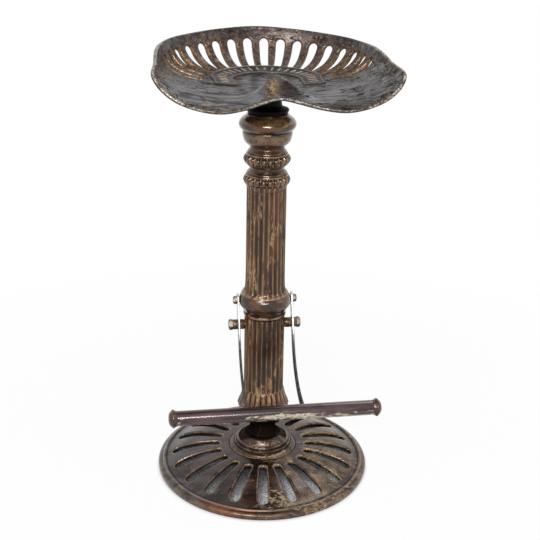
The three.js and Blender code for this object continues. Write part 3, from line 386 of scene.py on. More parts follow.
def seat_iron():
    """Iron polished by sitting: grey with dark wavy strokes round the bowl, mottled brown towards the rear
    rim and tan on the slots' walls and the worn front edge. Painted light on it: shade on the front ridge's
    right side and towards the bowl's right, light on the ridge's left side, a sheen beside it and a
    highlight on its tip."""
    f = Finish("polished iron of the seat", specular=0.1)
    rim, rib, wall, under, ridge, shaded_flank, lip, sheen, apron = (f.mark(name) for name in SEAT_MARKS)
    along = f.spot((0.3, 1, 1.4))
    patches = f.noise(0.035, 5, 0.62, 0.5)
    cloud = f.noise(0.02, 5, 0.62, 1.0, along)
    mottle = f.noise(0.012, 6, 0.7)
    grain = f.noise(0.003, 5, 0.7)
    broken = f.band(f.noise(0.02, 3, 0.6, 0.4, f.spot((0.6, 1, 1), shift=(5, 2, 1))), 0.44, 0.56)
    wavy = f.product(f.most(f.strokes(0.016, 0.035, along), f.strokes(0.026, 0.022, along)), broken)
    scored = f.strokes(0.014, 0.045, f.spot((0.2, 1, 1.4), shift=(1, 4, 2)), 0.7)
    stroke = f.most(wavy, f.product(scored, apron, 0.9))
    streak = f.strokes(0.02, 0.05, f.spot((0.3, 1, 1.4), shift=(2, 7, 4)), 1.4)
    fringe = f.noise(0.011, 5, 0.65, 0.6, f.spot((0.2, 1, 1.4), shift=(6, 1, 3)))

    f.colour = f.mix(f.band(cloud, 0.38, 0.62), (42, 37, 36), (78, 76, 80))
    # dark brown patches, their share rising towards the right: mottled tone, with painted shade on the
    # right side
    f.paint((36, 28, 26), f.band(patches, 0.46, 0.6), f.band(f.along(0), -0.1, 0.1, 0.3, 0.8))
    f.paint((118, 116, 120), streak, f.band(cloud, 0.36, 0.56), 0.4)
    # painted reflection and highlight: pale bluish grey beside the front ridge and on its tip at the front
    # edge
    f.paint((112, 114, 122), sheen, 0.7)
    f.paint((138, 120, 98), f.band(apron, 0.7, 0.95), f.band(fringe, 0.48, 0.6), 0.6)
    f.paint((10, 8, 8), stroke, 0.95)
    brown = f.mix(f.band(mottle, 0.42, 0.6), (40, 31, 29), (80, 68, 61))
    speckled = f.product(f.band(f.noise(0.005, 5, 0.75), 0.58, 0.66), 0.6)
    f.paint(f.mix(speckled, brown, (176, 162, 142)), f.most(rim, rib), f.band(patches, 0.28, 0.5, 0.6, 1.0))
    golden = f.mix(f.band(grain, 0.42, 0.6), (88, 64, 42), (156, 122, 80))
    f.paint(golden, wall, f.band(patches, 0.36, 0.6, 0.25, 0.8))
    # painted shade: dark red-brown on the front ridge's right side and along the right front edge
    f.paint((38, 24, 20), shaded_flank, 0.85)
    tan = f.mix(f.band(grain, 0.4, 0.6), (96, 76, 56), (164, 140, 104))
    # rubbed tan on the ridge's left side, which is also painted light on the side the light falls on
    f.paint(tan, ridge, f.band(mottle, 0.36, 0.6), 0.8)
    cream = f.mix(f.band(grain, 0.42, 0.6), (84, 74, 66), (190, 182, 166))
    f.paint(cream, lip, f.band(f.noise(0.02, 6, 0.7), 0.36, 0.52))
    f.paint(f.mix(f.band(patches, 0.4, 0.6), (26, 23, 21), (52, 44, 39)), under)

    matt = f.most(ridge, under)
    f.wax(f.most(stroke, f.band(cloud, 0.36, 0.6, 0.6, 0.0), f.product(matt, 0.8)), 0.45, 0.26)
    f.relief((cloud, 0.001), (f.maths("SUBTRACT", 1.0, stroke), 0.0005))
    return f.done(0.22, 0.36, cloud, matt, 0.25)


def panel_iron():
    """Dark iron with cream on the raised bars and dark dirt round them and along the edge."""
    f = Finish("dark iron of the horseshoe")
    grain = f.noise(0.003, 5, 0.7)
    f.colour = f.mix(f.band(f.noise(0.018, 5, 0.62, 0.5), 0.38, 0.62), (30, 26, 26), (54, 47, 44))
    f.paint((172, 160, 142), f.mark("wear_and_light"), f.band(grain, 0.3, 0.48), 0.9)
    f.paint((22, 18, 16), f.mark("soot_and_shade"), 0.75)
    f.relief((grain, 0.0002))
    return f.done(0.24, 0.42, grain, None, 0.0)


def spotted_steel(name, bright, dull, stain, dirt=SOOT_AND_SHADE, size=0.012, metallic=0.9, gloss=(0.2, 0.42),
                  stained=0.5):
    """Bare steel with dull clouds, stains where a noise passes `stained`, brighter where rubbed and darker
    and matt where dirty."""
    f = Finish(name, metallic=metallic)
    grain = f.noise(size / 8, 4, 0.7)
    soot_and_shade = f.mark("soot_and_shade")
    f.colour = f.mix(f.band(f.noise(size, 5, 0.65, 0.6), 0.36, 0.62), dull, bright)
    f.paint(stain, f.band(f.noise(size * 0.7, 6, 0.75, 0.3), stained, stained + 0.08), 0.8)
    # near white on the marked places: rubbed steel, and the arms' painted highlight
    f.paint((224, 220, 212), f.mark("wear_and_light"))
    f.paint(dirt, soot_and_shade, 0.9)
    f.fade_shine(soot_and_shade, 0.05)
    f.relief((grain, 0.0001))
    return f.done(*gloss, grain, soot_and_shade, 0.3)


arm_finish = spotted_steel("bright steel of the arms", bright=(196, 194, 190), dull=(120, 115, 110),
                           stain=(74, 62, 54), dirt=(28, 22, 19), stained=0.54)
bolt_finish = spotted_steel("stained steel of the bolts", bright=(120, 100, 84), dull=(70, 56, 46),
                            stain=(44, 31, 24), size=0.006, metallic=0.7, gloss=(0.22, 0.44))
rod_finish = spotted_steel("dull steel of the rod", bright=(150, 148, 145), dull=(110, 108, 105),
                           stain=(84, 68, 54))
bearing_finish = spotted_steel("bronze of the bearing", bright=(120, 90, 50), dull=(80, 58, 32),
                               stain=(34, 26, 18), size=0.008)


def bar_steel():
    """Purple-brown steel with a hard gloss, its finish flaked off in cream scales along the underside."""
    f = Finish("purple-brown steel of the bar", specular=0.1)
    where = f.spot((0.3, 1, 1))
    clouds = f.noise(0.02, 5, 0.62, 0.6, where)
    grain = f.noise(0.0022, 5, 0.72, 0.2, f.spot((0.4, 1, 1)))
    scales = f.maths("ADD", f.noise(0.012, 6, 0.72, 0.5, where), f.product(f.mark("wear_and_light"), 0.28))
    flaked = f.product(f.band(scales, 0.7, 0.76), f.band(grain, 0.4, 0.5))
    f.colour = f.mix(f.band(clouds, 0.38, 0.62), (44, 26, 28), (74, 52, 54))
    f.paint((196, 186, 164), flaked, 0.85)
    f.wax(f.product(flaked, 0.8), 1.0, 0.2)
    f.relief((flaked, 0.0002))
    return f.done(0.24, 0.32, clouds, flaked, 0.3)


# A sheet pierced by slots


def slot_outline(inner, outer, inner_width, outer_width, grow, ends, sides):
    """Plan outline of tapered slots with round ends, grown by a margin: one side outwards, the outer arc,
    the other side inwards, the inner arc. The first axis counts the slots, the last is along and across."""
    inner_round, outer_round = inner_width / 2, outer_width / 2
    near, far = (inner + inner_round)[:, None], (outer - outer_round)[:, None]
    quarter = QUARTER_TURN + np.arcsin((outer_round - inner_round) / (far - near))
    side, arc = np.arange(sides) / sides, np.arange(ends) / ends

    def end_arc(middle, reach, angle):
        return np.array(np.broadcast_arrays(middle + np.cos(angle) * reach, np.sin(angle) * reach))

    near_corner = end_arc(near, inner_round + grow, quarter)
    far_corner = end_arc(far, outer_round + grow, quarter)
    across_flip = np.array([1, -1])[:, None, None]
    loops = [lerp(near_corner * across_flip, far_corner * across_flip, side),
             end_arc(far, outer_round + grow, lerp(-quarter, quarter, arc)),
             lerp(far_corner, near_corner, side),
             end_arc(near, inner_round + grow, lerp(quarter, WHOLE_TURN - quarter, arc))]
    return np.moveaxis(np.concatenate(loops, axis=-1), 0, -1)


def block_border(plan, first_row, columns, sides, ends, count):
    """Plan points round the blocks of a polar grid that hold one slot each, in the order of
    slot_outline."""
    across, along = np.arange(ends), np.arange(sides)
    row = np.concatenate([along, np.full(ends, sides), sides - along, np.zeros(ends, int)])
    column = np.concatenate([np.zeros(sides, int), across, np.full(sides, ends), ends - across])
    column = (column + np.arange(count)[:, None] * ends) % columns
    return plan.reshape(-1, 2)[(row + first_row) * columns + column]


def open_blocks(quads, first_rows, columns, sides, ends, count):
    """The grid's quads without those of the slots' blocks, on the upper face and on the underside."""
    row, column = quads[:, 0] // columns, quads[:, 0] % columns
    inside = np.any([(row >= first) & (row < first + sides) for first in first_rows], axis=0)
    return quads[~(inside & (column < ends * count))]


def slot_rings(border, outline, skin, wall, top_round, under_round, top_steps=4, under_steps=3):
    """Rings of points from a block's border on the upper face, over the rounded edge, down the slot's wall
    and back along the underside to the border. Each ring is a plan outline, a depth and a share of the way
    from the open sheet to the wall. Gives the points, the shares and the depths."""
    edge, under_edge = outline(top_round), outline(under_round)
    rings = [(lerp(border, edge, share), 0.0, share * 0.3) for share in (0.0, 0.4, 0.75, 1.0)]
    for turn in np.linspace(0, QUARTER_TURN, top_steps + 1)[1:]:
        share = 0.3 + 0.7 * turn / QUARTER_TURN
        rings.append((outline(top_round * (1 - sin(turn))), top_round * (1 - cos(turn)), share))
    for turn in np.linspace(0, QUARTER_TURN, under_steps):
        rings.append((outline(under_round * (1 - cos(turn))), wall - under_round * (1 - sin(turn)), 1.0))
    rings += [(lerp(border, under_edge, share), wall, 1.0) for share in (0.5, 0.0)]
    points = np.stack([skin(plan[..., 0], plan[..., 1], depth) for plan, depth, _ in rings])
    walls = np.stack([np.full(plan.shape[:2], share) for plan, _, share in rings])
    depths = np.stack([np.full(plan.shape[:2], depth) for plan, depth, _ in rings])
    return points, walls, depths


def pierced_piece(name, sheet, quads, sheet_depths, cells, marks, *place, **more):
    """A sheet with a grid of rings in each of its slots. `cells` holds what slot_rings gives, `marks` gives
    the marks from points, shares of the way to a wall and depths, and `place` is the rest of
    make_piece's."""
    rings, count, loop = cells[1].shape

    def one_by_one(on_sheet, on_cells):
        return [on_sheet] + [on_cells[:, k] for k in range(count)]

    parts = zip(one_by_one(sheet, cells[0]), [quads] + [grid_faces(rings, loop)] * count)
    on_sheet, on_cells = marks(sheet, np.zeros(sheet_depths.shape), sheet_depths), marks(*cells)
    values = {mark: one_by_one(on_sheet[mark], on_cells[mark]) for mark in on_sheet}
    return make_piece(name, list(parts), *place, marks=values, **more)


# Seat

SEAT_TOP, SEAT_WALL = 710.0, 6.0
POMMEL_RISE = 28
SLOTS, SLOT_COLUMNS, SLOT_ROWS = 18, 8, 24
SLOT_PITCH = pi / (SLOTS - 1)
SLOT_LEAN = 0.5
SLOT_WIDTHS = (11.5, 15.5)
SLOT_TO_RIM = 16.5
SLOT_OVAL = (102, 113)
SLOT_START_HEIGHT = 12
SLOT_EDGE, SLOT_UNDER_EDGE = 2.7, 1.4
RIB_THICKENING = 0.4
RIM_CURVE_STEPS = 40
RIM_POINTS = [(0, 168, 75), (60, 158, 72), (112, 131, 67.5), (147, 97, 64), (168, 54, 60.5), (178, 8, 58),
              (184, -66.5, 47), (189.4, -133.2, 35.5), (180.3, -147.2, 21), (160, -157.3, 4),
              (130, -164.5, -8.5), (94.7, -166.5, -14.5), (60, -158.2, -11), (28, -142, -4), (0, -130, 0)]


def closed_curve(points, steps):
    """Centripetal Catmull-Rom curve through the points and back to the first: on each stretch a cubic whose
    tangents weigh the chords by the square root of their length."""
    before, first, last, after = (np.roll(points, k, axis=0) for k in (1, 0, -1, -2))
    chords = (first - before, last - first, after - last)
    g0, g1, g2 = (np.linalg.norm(chord, axis=1, keepdims=True) ** 0.5 for chord in chords)
    lead = ((first - before) / g0 - (last - before) / (g0 + g1) + (last - first) / g1) * g1
    tail = ((last - first) / g1 - (after - first) / (g1 + g2) + (after - last) / g2) * g1
    s = np.linspace(0, 1, steps, endpoint=False)[None, :, None]
    first, last, lead, tail = (p[:, None] for p in (first, last, lead, tail))
    ends = first * (2 * s**3 - 3 * s**2 + 1) + last * (3 * s**2 - 2 * s**3)
    return (ends + lead * (s**3 - 2 * s**2 + s) + tail * (s**3 - s**2)).reshape(-1, 3)


def rim_line():
    """The rim right round, mirrored from its right half: angles about the axis in rising order, and
    points."""
    half = np.array(RIM_POINTS, float)
    curve = closed_curve(np.vstack([half, (half * [-1, 1, 1])[-2:0:-1]]), RIM_CURVE_STEPS)
    angle = np.arctan2(curve[:, 1], curve[:, 0])
    order = np.argsort(angle)
    return angle[order], curve[order]


rim_angle, rim_curve = rim_line()
rim_radius = np.hypot(rim_curve[:, 0], rim_curve[:, 1])


def rim_reach(angle):
    """The rim's distance from the axis."""
    return np.interp(angle, rim_angle, rim_radius, period=WHOLE_TURN)


def rim_height(angle):
    """The rim's height over the seat's lowest point."""
    return np.interp(angle, rim_angle, rim_curve[:, 2], period=WHOLE_TURN)


def bowl_height(x, y):
    """Upper face of the seat: the rim's height times a flat power plus a steep power of the share of the
    way out to the rim, with a ridge at the front whose section is a bell."""
    angle = np.arctan2(y, x)
    share = np.hypot(x, y) / rim_reach(angle)
    front = np.clip(-np.sin(angle), 0, None)
    steep, low, high = lerp(0.66, 0.28, front), lerp(1.7, 3.6, front), lerp(11, 18, front)
    rise = (1 - steep) * share**low + steep * share**high
    climb = np.where(share > 0.754, (1 - share) / 0.246, (share - 0.3) / 0.454)
    ridge = np.sin(QUARTER_TURN * np.clip(climb, 0, 1)) ** 2
    spread_out = lerp(33, 24, smooth((share - 0.72) / 0.26))
    pommel = np.where(y < 0, POMMEL_RISE * ridge * bell(x, 0, spread_out), 0)
    return SEAT_TOP + rim_height(angle) * rise + pommel


def bowl_normal(x, y, step=0.4):
    """Unit normal of the upper face from central differences of its height."""
    across = (bowl_height(x + step, y) - bowl_height(x - step, y)) / (2 * step)
    along = (bowl_height(x, y + step) - bowl_height(x, y - step)) / (2 * step)
    normal = np.stack([-across, -along, np.ones_like(across)], -1)
    return normal / np.linalg.norm(normal, axis=-1, keepdims=True)


def oval_share(x, y):
    """1 on the oval where the slots begin, less inside it."""
    return np.hypot(x / SLOT_OVAL[0], y / SLOT_OVAL[1])


def rearward(angle):
    """1 in the rear half of the seat and a little before it, 0 at the front."""
    return smooth((np.sin(angle) + 0.25) / 0.3)


def among_slots(x, y):
    """Share that is 1 on the ribs between the seat's slots and 0 at the front, in the bowl and near the
    rim."""
    angle = np.arctan2(y, x)
    near_rim = smooth((np.hypot(x, y) / rim_reach(angle) - 0.9) / 0.08)
    return rearward(angle) * smooth((oval_share(x, y) - 0.8) / 0.2) * (1 - near_rim)


def seat_skin(x, y, depth):
    """Point of the seat's wall at a depth under its upper face, measured square to it. The ribs are
    thicker."""
    top = np.stack([x, y, bowl_height(x, y)], -1)
    thick = np.asarray(depth) * (1 + RIB_THICKENING * among_slots(x, y))
    return top - bowl_normal(x, y) * thick[..., None]


def lean_out(along, across, angle, lean):
    """Plan points of the upper face that lie at a distance along a leaning cut. The radius is the distance
    plus the lean times the drop below the rim, found by halving steps."""
    height = np.full(np.broadcast(along, across, angle).shape, SEAT_TOP + 20.0)
    for _ in range(40):
        radius = along + lean * (SEAT_TOP + rim_height(angle) - height)
        x = radius * np.cos(angle) - across * np.sin(angle)
        y = radius * np.sin(angle) + across * np.cos(angle)
        height += 0.5 * (bowl_height(x, y) - height)
    return x, y


def oval_reach(angle, lean):
    """How far along a leaning cut the oval lies where the slots begin, 12 mm above the seat's lowest
    point."""
    oval = np.hypot(SLOT_OVAL[0] * np.cos(angle), SLOT_OVAL[1] * np.sin(angle))
    return oval - lean * (rim_height(angle) - SLOT_START_HEIGHT)


SEAT_COLUMNS = 2 * (SLOTS - 1) * SLOT_COLUMNS
SEAT_BLOCKS = (SEAT_COLUMNS, SLOT_ROWS, SLOT_COLUMNS, SLOTS)
BOWL_ROWS, RIM_ROWS = 18, 12
BLOCKS_BEFORE_SLOTS, BLOCKS_TO_RIM, SHEET_TO_RIM = 5, 9.5, 2.2
EDGE_RADIUS = SEAT_WALL / 2
EDGE_TURN = np.linspace(0, pi, 9)[1:-1, None]


def seat_plan():
    """Plan of the upper face: rows from the middle to where the slots' blocks begin, through the blocks,
    and on to just inside the rim, along cuts that lean more the further back they are."""
    angle = (np.arange(SEAT_COLUMNS) - SLOT_COLUMNS / 2) * SLOT_PITCH / SLOT_COLUMNS
    lean = SLOT_LEAN * smooth((np.sin(angle) + 0.5) / 0.4)
    start = oval_reach(angle, lean) - BLOCKS_BEFORE_SLOTS
    stop, rim = rim_reach(angle) - BLOCKS_TO_RIM, rim_reach(angle) - SHEET_TO_RIM
    bowl = np.linspace(0, 1, BOWL_ROWS, endpoint=False)[:, None]
    block = np.linspace(0, 1, SLOT_ROWS, endpoint=False)[:, None]
    outside = np.linspace(0, 1, RIM_ROWS)[:, None]
    along = np.concatenate([bowl * start, lerp(start, stop, block), lerp(stop, rim, outside)])
    leans = np.concatenate([bowl * lean, np.broadcast_to(lean, (SLOT_ROWS + RIM_ROWS, SEAT_COLUMNS))])
    x, y = lean_out(along, 0.0, angle, leans)
    x[0], y[0] = 0.0, 0.0
    return x, y


def seat_sheet(x, y):
    """Upper face, rounded rim and underside as one grid, with the depth of each point. The rim is a half
    round between the two faces, in the plane of the face's normal and the way out."""
    upper = seat_skin(x, y, np.zeros_like(x))
    lower = seat_skin(x, y, np.full_like(x, SEAT_WALL))
    normal = bowl_normal(x[-1], y[-1])
    outwards = upper[-1] - upper[-2]
    outwards -= normal * np.sum(outwards * normal, -1, keepdims=True)
    outwards /= np.linalg.norm(outwards, axis=-1, keepdims=True)
    turn = EDGE_TURN[..., None]
    edge = upper[-1] - normal * EDGE_RADIUS * (1 - np.cos(turn)) + outwards * EDGE_RADIUS * np.sin(turn)
    edge_depths = np.broadcast_to(EDGE_RADIUS * (1 - np.cos(EDGE_TURN)), edge.shape[:2])
    depths = np.concatenate([np.zeros(x.shape), edge_depths, np.full(x.shape, SEAT_WALL)])
    return np.concatenate([upper, edge, lower[::-1]]), depths


def seat_slot(grow):
    """Plan outlines of the seat's slots on its upper face."""
    angle = np.arange(SLOTS) * SLOT_PITCH
    inner, outer = oval_reach(angle, SLOT_LEAN), rim_reach(angle) - SLOT_TO_RIM
    loop = slot_outline(inner, outer, *SLOT_WIDTHS, grow, SLOT_COLUMNS, SLOT_ROWS)
    return np.stack(lean_out(loop[..., 0], loop[..., 1], angle[:, None], SLOT_LEAN), -1)


def seat_marks(points, walls, depths):
    """Shares that the finish reads: near the rim, among the slots, on their walls, underneath, on the front
    ridge's left side, rubbed tan and painted light, on its right side and along the right front edge,
    painted shade, along the worn front edge, where the ridge's foot and tip shine, a painted sheen and
    highlight, and on the front between them."""
    x, y = points[..., 0], points[..., 1]
    angle = np.arctan2(y, x)
    share = np.hypot(x, y) / rim_reach(angle)
    rear, front = rearward(angle), y < 0
    rim = smooth((share - 0.93) / 0.05) * rear + (1 - rear) * smooth((share - 0.95) / 0.05)
    rib = rear * smooth((oval_share(x, y) - 1.0) / 0.12) * (1 - smooth((share - 0.96) / 0.03))
    ahead = smooth((share - 0.5) / 0.2) * front
    # the ridge's left side: rubbed tan and painted light
    ridge = bell(x, -13, 10) * ahead
    # painted shade on the ridge's right side, carried on along the right front edge
    brink = smooth((share - 0.86) / 0.09) * smooth((x - 14) / 10) * smooth((150 - x) / 50) * front
    shaded_flank = np.maximum(bell(x, 16, 15) * ahead, 0.8 * brink)
    apron = smooth((share - 0.66) / 0.3) * front * (1 - ridge) * (1 - shaded_flank)
    prow = np.exp(-((x / 26) ** 4)) * smooth((share - 0.95) / 0.04) * front
    # painted sheen beside the front ridge and a painted highlight on its tip at the front edge
    sheen = np.clip((bell(x, -36, 11) + bell(x, 50, 11)) * ahead + 1.2 * prow, 0, 1)
    lip = smooth((share - 0.99) / 0.012) * smooth((0.3 - np.sin(angle)) / 0.2)
    lip = lip * (1 - smooth((depths - 2.6) / 1.5))
    under = smooth((depths - 3.2) / 2)
    ridge, shaded_flank = ridge * (1 - prow), shaded_flank * (1 - prow)
    return dict(zip(SEAT_MARKS, (rim, rib, walls, under, ridge, shaded_flank, lip, sheen, apron)))


def seat_shell():
    """The seat: its sheet with 18 slots."""
    x, y = seat_plan()
    sheet, depths = seat_sheet(x, y)
    under_first = len(sheet) - BOWL_ROWS - SLOT_ROWS - 1
    quads = open_blocks(grid_faces(len(sheet), SEAT_COLUMNS), (BOWL_ROWS, under_first), *SEAT_BLOCKS)
    border = block_border(np.stack([x, y], -1), BOWL_ROWS, *SEAT_BLOCKS)
    cells = slot_rings(border, seat_slot, seat_skin, SEAT_WALL, SLOT_EDGE, SLOT_UNDER_EDGE)
    return pierced_piece("seat_shell", sheet, quads, depths, cells, seat_marks, "seat", "seat_iron",
                         seat_iron(), ["seat_casting"], crease=60)


BOSS_OUTLINE = [(0, 708), (8.3, 708), (8.3, 693.3), (25, 693.3), (26, 694.3), (26, 700), (28, 703),
                (33, 706)]

seat_shell()
turned_piece("seat_boss", BOSS_OUTLINE, 48, "seat", "seat_iron", shade_dark_hub_finish, crease=38)

# Horseshoe panel

PANEL_ROWS, PANEL_COLUMNS = 520, 56
PANEL_RISE, PANEL_SINK = 2.4, 0.4
PANEL_FOOT = asin(43 / 92)
BORDER_RISE = 0.9
BAR_PITCH, BAR_RISE, BAR_HALF_WIDTH = 13.0, 1.2, 2.4
BARS_FROM_END = 6
BAR_SPAN = (0.34, 0.66)


def straight_feet(radius, foot, angle):
    """Offset of an arch from its middle line: the radius times the cosine above, and even below."""
    upright = smooth((0.25 - np.sin(angle)) / 0.5)
    return lerp(radius * np.cos(angle), foot * np.sign(np.cos(angle)), upright)


def panel_plan(along, across):
    """Plan of the horseshoe: from the inner arch, a round one whose feet run straight forward, to the
    outer, an oval one, at the same share of their way from the right foot to the left."""
    outer = -PANEL_FOOT + (pi + 2 * PANEL_FOOT) * along
    inner = -0.75 * PANEL_FOOT + (pi + 1.5 * PANEL_FOOT) * along
    x = lerp(straight_feet(56, 54, inner), straight_feet(95, 91, outer), across)
    inner_y = 56 * np.sin(inner) * np.where(inner * (pi - inner) < 0, 2.0, 1.0)
    return x, 14 + lerp(inner_y, 92 * np.sin(outer), across)


def short_bars(run, across, width):
    """Short raised bars set square to the horseshoe's run, with round ends: a rounded section of the
    distance from each bar's line, which beyond its ends is measured to the end's point."""
    barred = run[-1, 0] - 2 * BARS_FROM_END
    share = (run - BARS_FROM_END) / barred
    off_line = ((share * round(barred / BAR_PITCH)) % 1 - 0.5) * BAR_PITCH
    beyond = np.maximum(np.maximum(BAR_SPAN[0] - across, across - BAR_SPAN[1]), 0) * width
    away = np.hypot(off_line, beyond)
    return BAR_RISE * smooth((BAR_HALF_WIDTH - away) / 1.2) * ((share > 0) & (share < 1))


def horseshoe_panel():
    """The raised panel: a level top over a smooth step at the edge, with a ridge of a bell's section just
    inside the edge and the short bars. Worn on what stands up, dirty beside it."""
    along = np.linspace(0, 1, PANEL_ROWS)[:, None]
    across = np.linspace(0, 1, PANEL_COLUMNS)[None, :]
    x, y = panel_plan(along, across)
    width = np.hypot(x[:, -1:] - x[:, :1], y[:, -1:] - y[:, :1])
    middle = PANEL_COLUMNS // 2
    run = np.concatenate([[0], np.cumsum(np.hypot(np.diff(x[:, middle]), np.diff(y[:, middle])))])[:, None]
    from_edge = np.minimum(np.minimum(across, 1 - across) * width, np.minimum(run, run[-1] - run))
    border = BORDER_RISE * bell(from_edge, 2.4, 0.9)
    bars = short_bars(run, across, width)
    rise = PANEL_RISE * smooth(from_edge / 1.6) - PANEL_SINK + border + bars
    wear_and_light = np.clip(np.maximum(border * 0.75, bars / BAR_RISE), 0, 1)
    soot_and_shade = np.clip(bell(from_edge, 0, 1.5) + 0.7 * smooth((0.8 - bars) / 0.6) * (from_edge > 4.5), 0, 1)
    grid = seat_skin(x, y, -rise)
    quads = grid_faces(PANEL_ROWS, PANEL_COLUMNS, around=False)
    return make_piece("horseshoe_panel", [(grid, quads)], "seat", "seat_iron", panel_iron(), crease=70,
                      marks={"wear_and_light": [wear_and_light], "soot_and_shade": [soot_and_shade]})


horseshoe_panel()

# Base

BASE_WALL = 7.0
BASE_SLOTS, BASE_ENDS, BASE_SIDES = 20, 10, 26
BASE_COLUMNS = BASE_SLOTS * BASE_ENDS
BASE_BLOCKS = (BASE_COLUMNS, BASE_SIDES, BASE_ENDS, BASE_SLOTS)
BASE_PITCH = WHOLE_TURN / BASE_SLOTS
BASE_START = -QUARTER_TURN + BASE_PITCH * 0.09
BASE_SLOT_REACH = (80, 168.5)
BASE_BLOCK_REACH = (73.5, 175.5)
BASE_SLOT_WIDTHS = (13, 18.6)
BASE_SLOT_EDGE, BASE_UNDER_EDGE = 3.4, 1.2
DOME = cut_corners([(182.6, 14.6), (178, 14.6), (172, 16.3), (167, 18.3), (158, 22.6), (145, 28),
                    (123, 33.6), (100, 36.6), (79, 37.6), (66, 38)])[::-1]
BASE_HUB = cut_corners([(6.3, 63), (31, 63), (33, 62.8), (35.6, 61.4), (38, 58.8), (40.2, 55.4),
                        (41.8, 53.2), (43.2, 52.4), (43.8, 53.2), (45.2, 54), (47, 53.6), (48.5, 51.8),
                        (48.9, 49.6), (48.4, 48), (49.2, 47.4), (50.8, 47.7), (52, 46.8), (52.2, 45.6),
                        (51.8, 44.2), (52.8, 43.5), (54.2, 44.1), (56.4, 44), (58.4, 42.6), (59.5, 40.8),
                        (59.5, 38.8), (60.6, 38.1), (66, 38)])
BASE_RIM = cut_corners([(178, 14.6), (182.6, 14.6), (184.2, 15.6), (186.2, 15.2), (186.8, 13.4),
                        (189, 12.6), (193.5, 10.5), (195, 8.5), (195, 0), (186, 0), (186, 6.4), (178, 7.6)])
UNDER_HUB = cut_corners([(66, 31), (59.8, 31), (46, 37.9), (34, 47), (25, 54), (6.3, 54)])


def base_skin(x, y, depth):
    """Point at a depth below the dome, whose height is that of its smoothed outline at the radius."""
    return to_points(x, y, np.interp(np.hypot(x, y), DOME[:, 0], DOME[:, 1]) - depth)


def base_slot(grow):
    """Plan outlines of the base's slots."""
    ones = np.ones(BASE_SLOTS)
    inner, outer = (reach * ones for reach in BASE_SLOT_REACH)
    loop = slot_outline(inner, outer, *BASE_SLOT_WIDTHS, grow, BASE_ENDS, BASE_SIDES)
    turn = (BASE_START + BASE_PITCH * (np.arange(BASE_SLOTS) + 0.5))[:, None]
    return np.stack([loop[..., 0] * np.cos(turn) - loop[..., 1] * np.sin(turn),
                     loop[..., 0] * np.sin(turn) + loop[..., 1] * np.cos(turn)], -1)


def base_marks(points, walls, depths):
    """Worn on the slots' walls, the rim's bead, the hub's rings and the ribs at the right, sooty low in the
    slots, underneath and in the rings' creases, a painted shadow of the flare round the column's foot,
    wider towards the back, rusty at the front of the rim's left side."""
    x, y, height = points[..., 0], points[..., 1], points[..., 2]
    radius = np.hypot(x, y)
    bead = bell(radius, 185.2, 1.3) + 0.5 * bell(radius, 193.5, 2.5) * (height > 4)
    rings = 0.8 * (bell(radius, 60.2, 1.0) + 0.6 * bell(radius, 46, 1.2) + 0.6 * bell(radius, 51, 0.8))
    low = smooth((depths - 3.8) / 1.6)
    lip = smooth((walls - 0.25) / 0.3) * (1 - low) * lerp(0.5, 1.0, smooth((92 - radius) / 8))
    ribs = smooth((x - 20) / 60) * smooth((radius - 84) / 10) * smooth((174 - radius) / 6)
    ribs = ribs * (1 - smooth(depths / 2))
    creases = sum(bell(radius, middle, width) for middle, width in ((62.6, 1.3), (180, 1.6), (43.1, 0.9),
                                                                    (49, 0.6), (52.6, 0.8)))
    # painted shadow of the flare on the hub round the column's foot, reaching further out behind
    shadow_reach = lerp(35, 49, smooth((y + 34) / 26))
    foot = 0.85 * smooth((shadow_reach - radius) / 9) + 0.15 * smooth((34.5 - radius) / 3)
    rust = np.exp(-(((x + 95) / 45) ** 2) - ((y + 168) / 30) ** 2) * smooth((radius - 178) / 6)
    return {"wear_and_light": np.clip(bead + rings + lip * 0.9 + 0.35 * ribs, 0, 1),
            "soot_and_shade": np.clip(low * 0.9 + creases * 0.75 + foot, 0, 1), "rust": rust}


def pierced_base():
    """The base: one closed outline from the hub over the dome and the rim and back underneath, turned about
    the axis, with 20 slots through the dome."""
    block_radii = np.linspace(*BASE_BLOCK_REACH, BASE_SIDES + 1)
    blocks = np.stack([block_radii, np.interp(block_radii, DOME[:, 0], DOME[:, 1])], -1)
    line = np.concatenate([BASE_HUB, blocks, BASE_RIM, blocks[::-1] - [0, BASE_WALL], UNDER_HUB])
    grid = turn_grid(line, BASE_COLUMNS, BASE_START)
    first, under_first = len(BASE_HUB), len(BASE_HUB) + len(blocks) + len(BASE_RIM)
    quads = open_blocks(grid_faces(len(line), BASE_COLUMNS, over=True), (first, under_first), *BASE_BLOCKS)
    border = block_border(grid[..., :2], first, *BASE_BLOCKS)
    cells = slot_rings(border, base_slot, base_skin, BASE_WALL, BASE_SLOT_EDGE, BASE_UNDER_EDGE)
    depths = np.zeros(grid.shape[:2])
    depths[under_first:] = BASE_WALL
    return pierced_piece("pierced_base", grid, quads, depths, cells, base_marks, "stand", "cast_iron",
                         base_finish, ["base_casting"], crease=50)


pierced_base()

# Columns and capital

FLUTES, FLUTE_COLUMNS = 24, 10
BEADS, BEAD_COLUMNS = 22, 14
LOWER_BORE, UPPER_BORE, CAPITAL_BORE = 14, 26, 22
column_angle = turn_angles(FLUTES * FLUTE_COLUMNS)
capital_angle = turn_angles(BEADS * BEAD_COLUMNS)


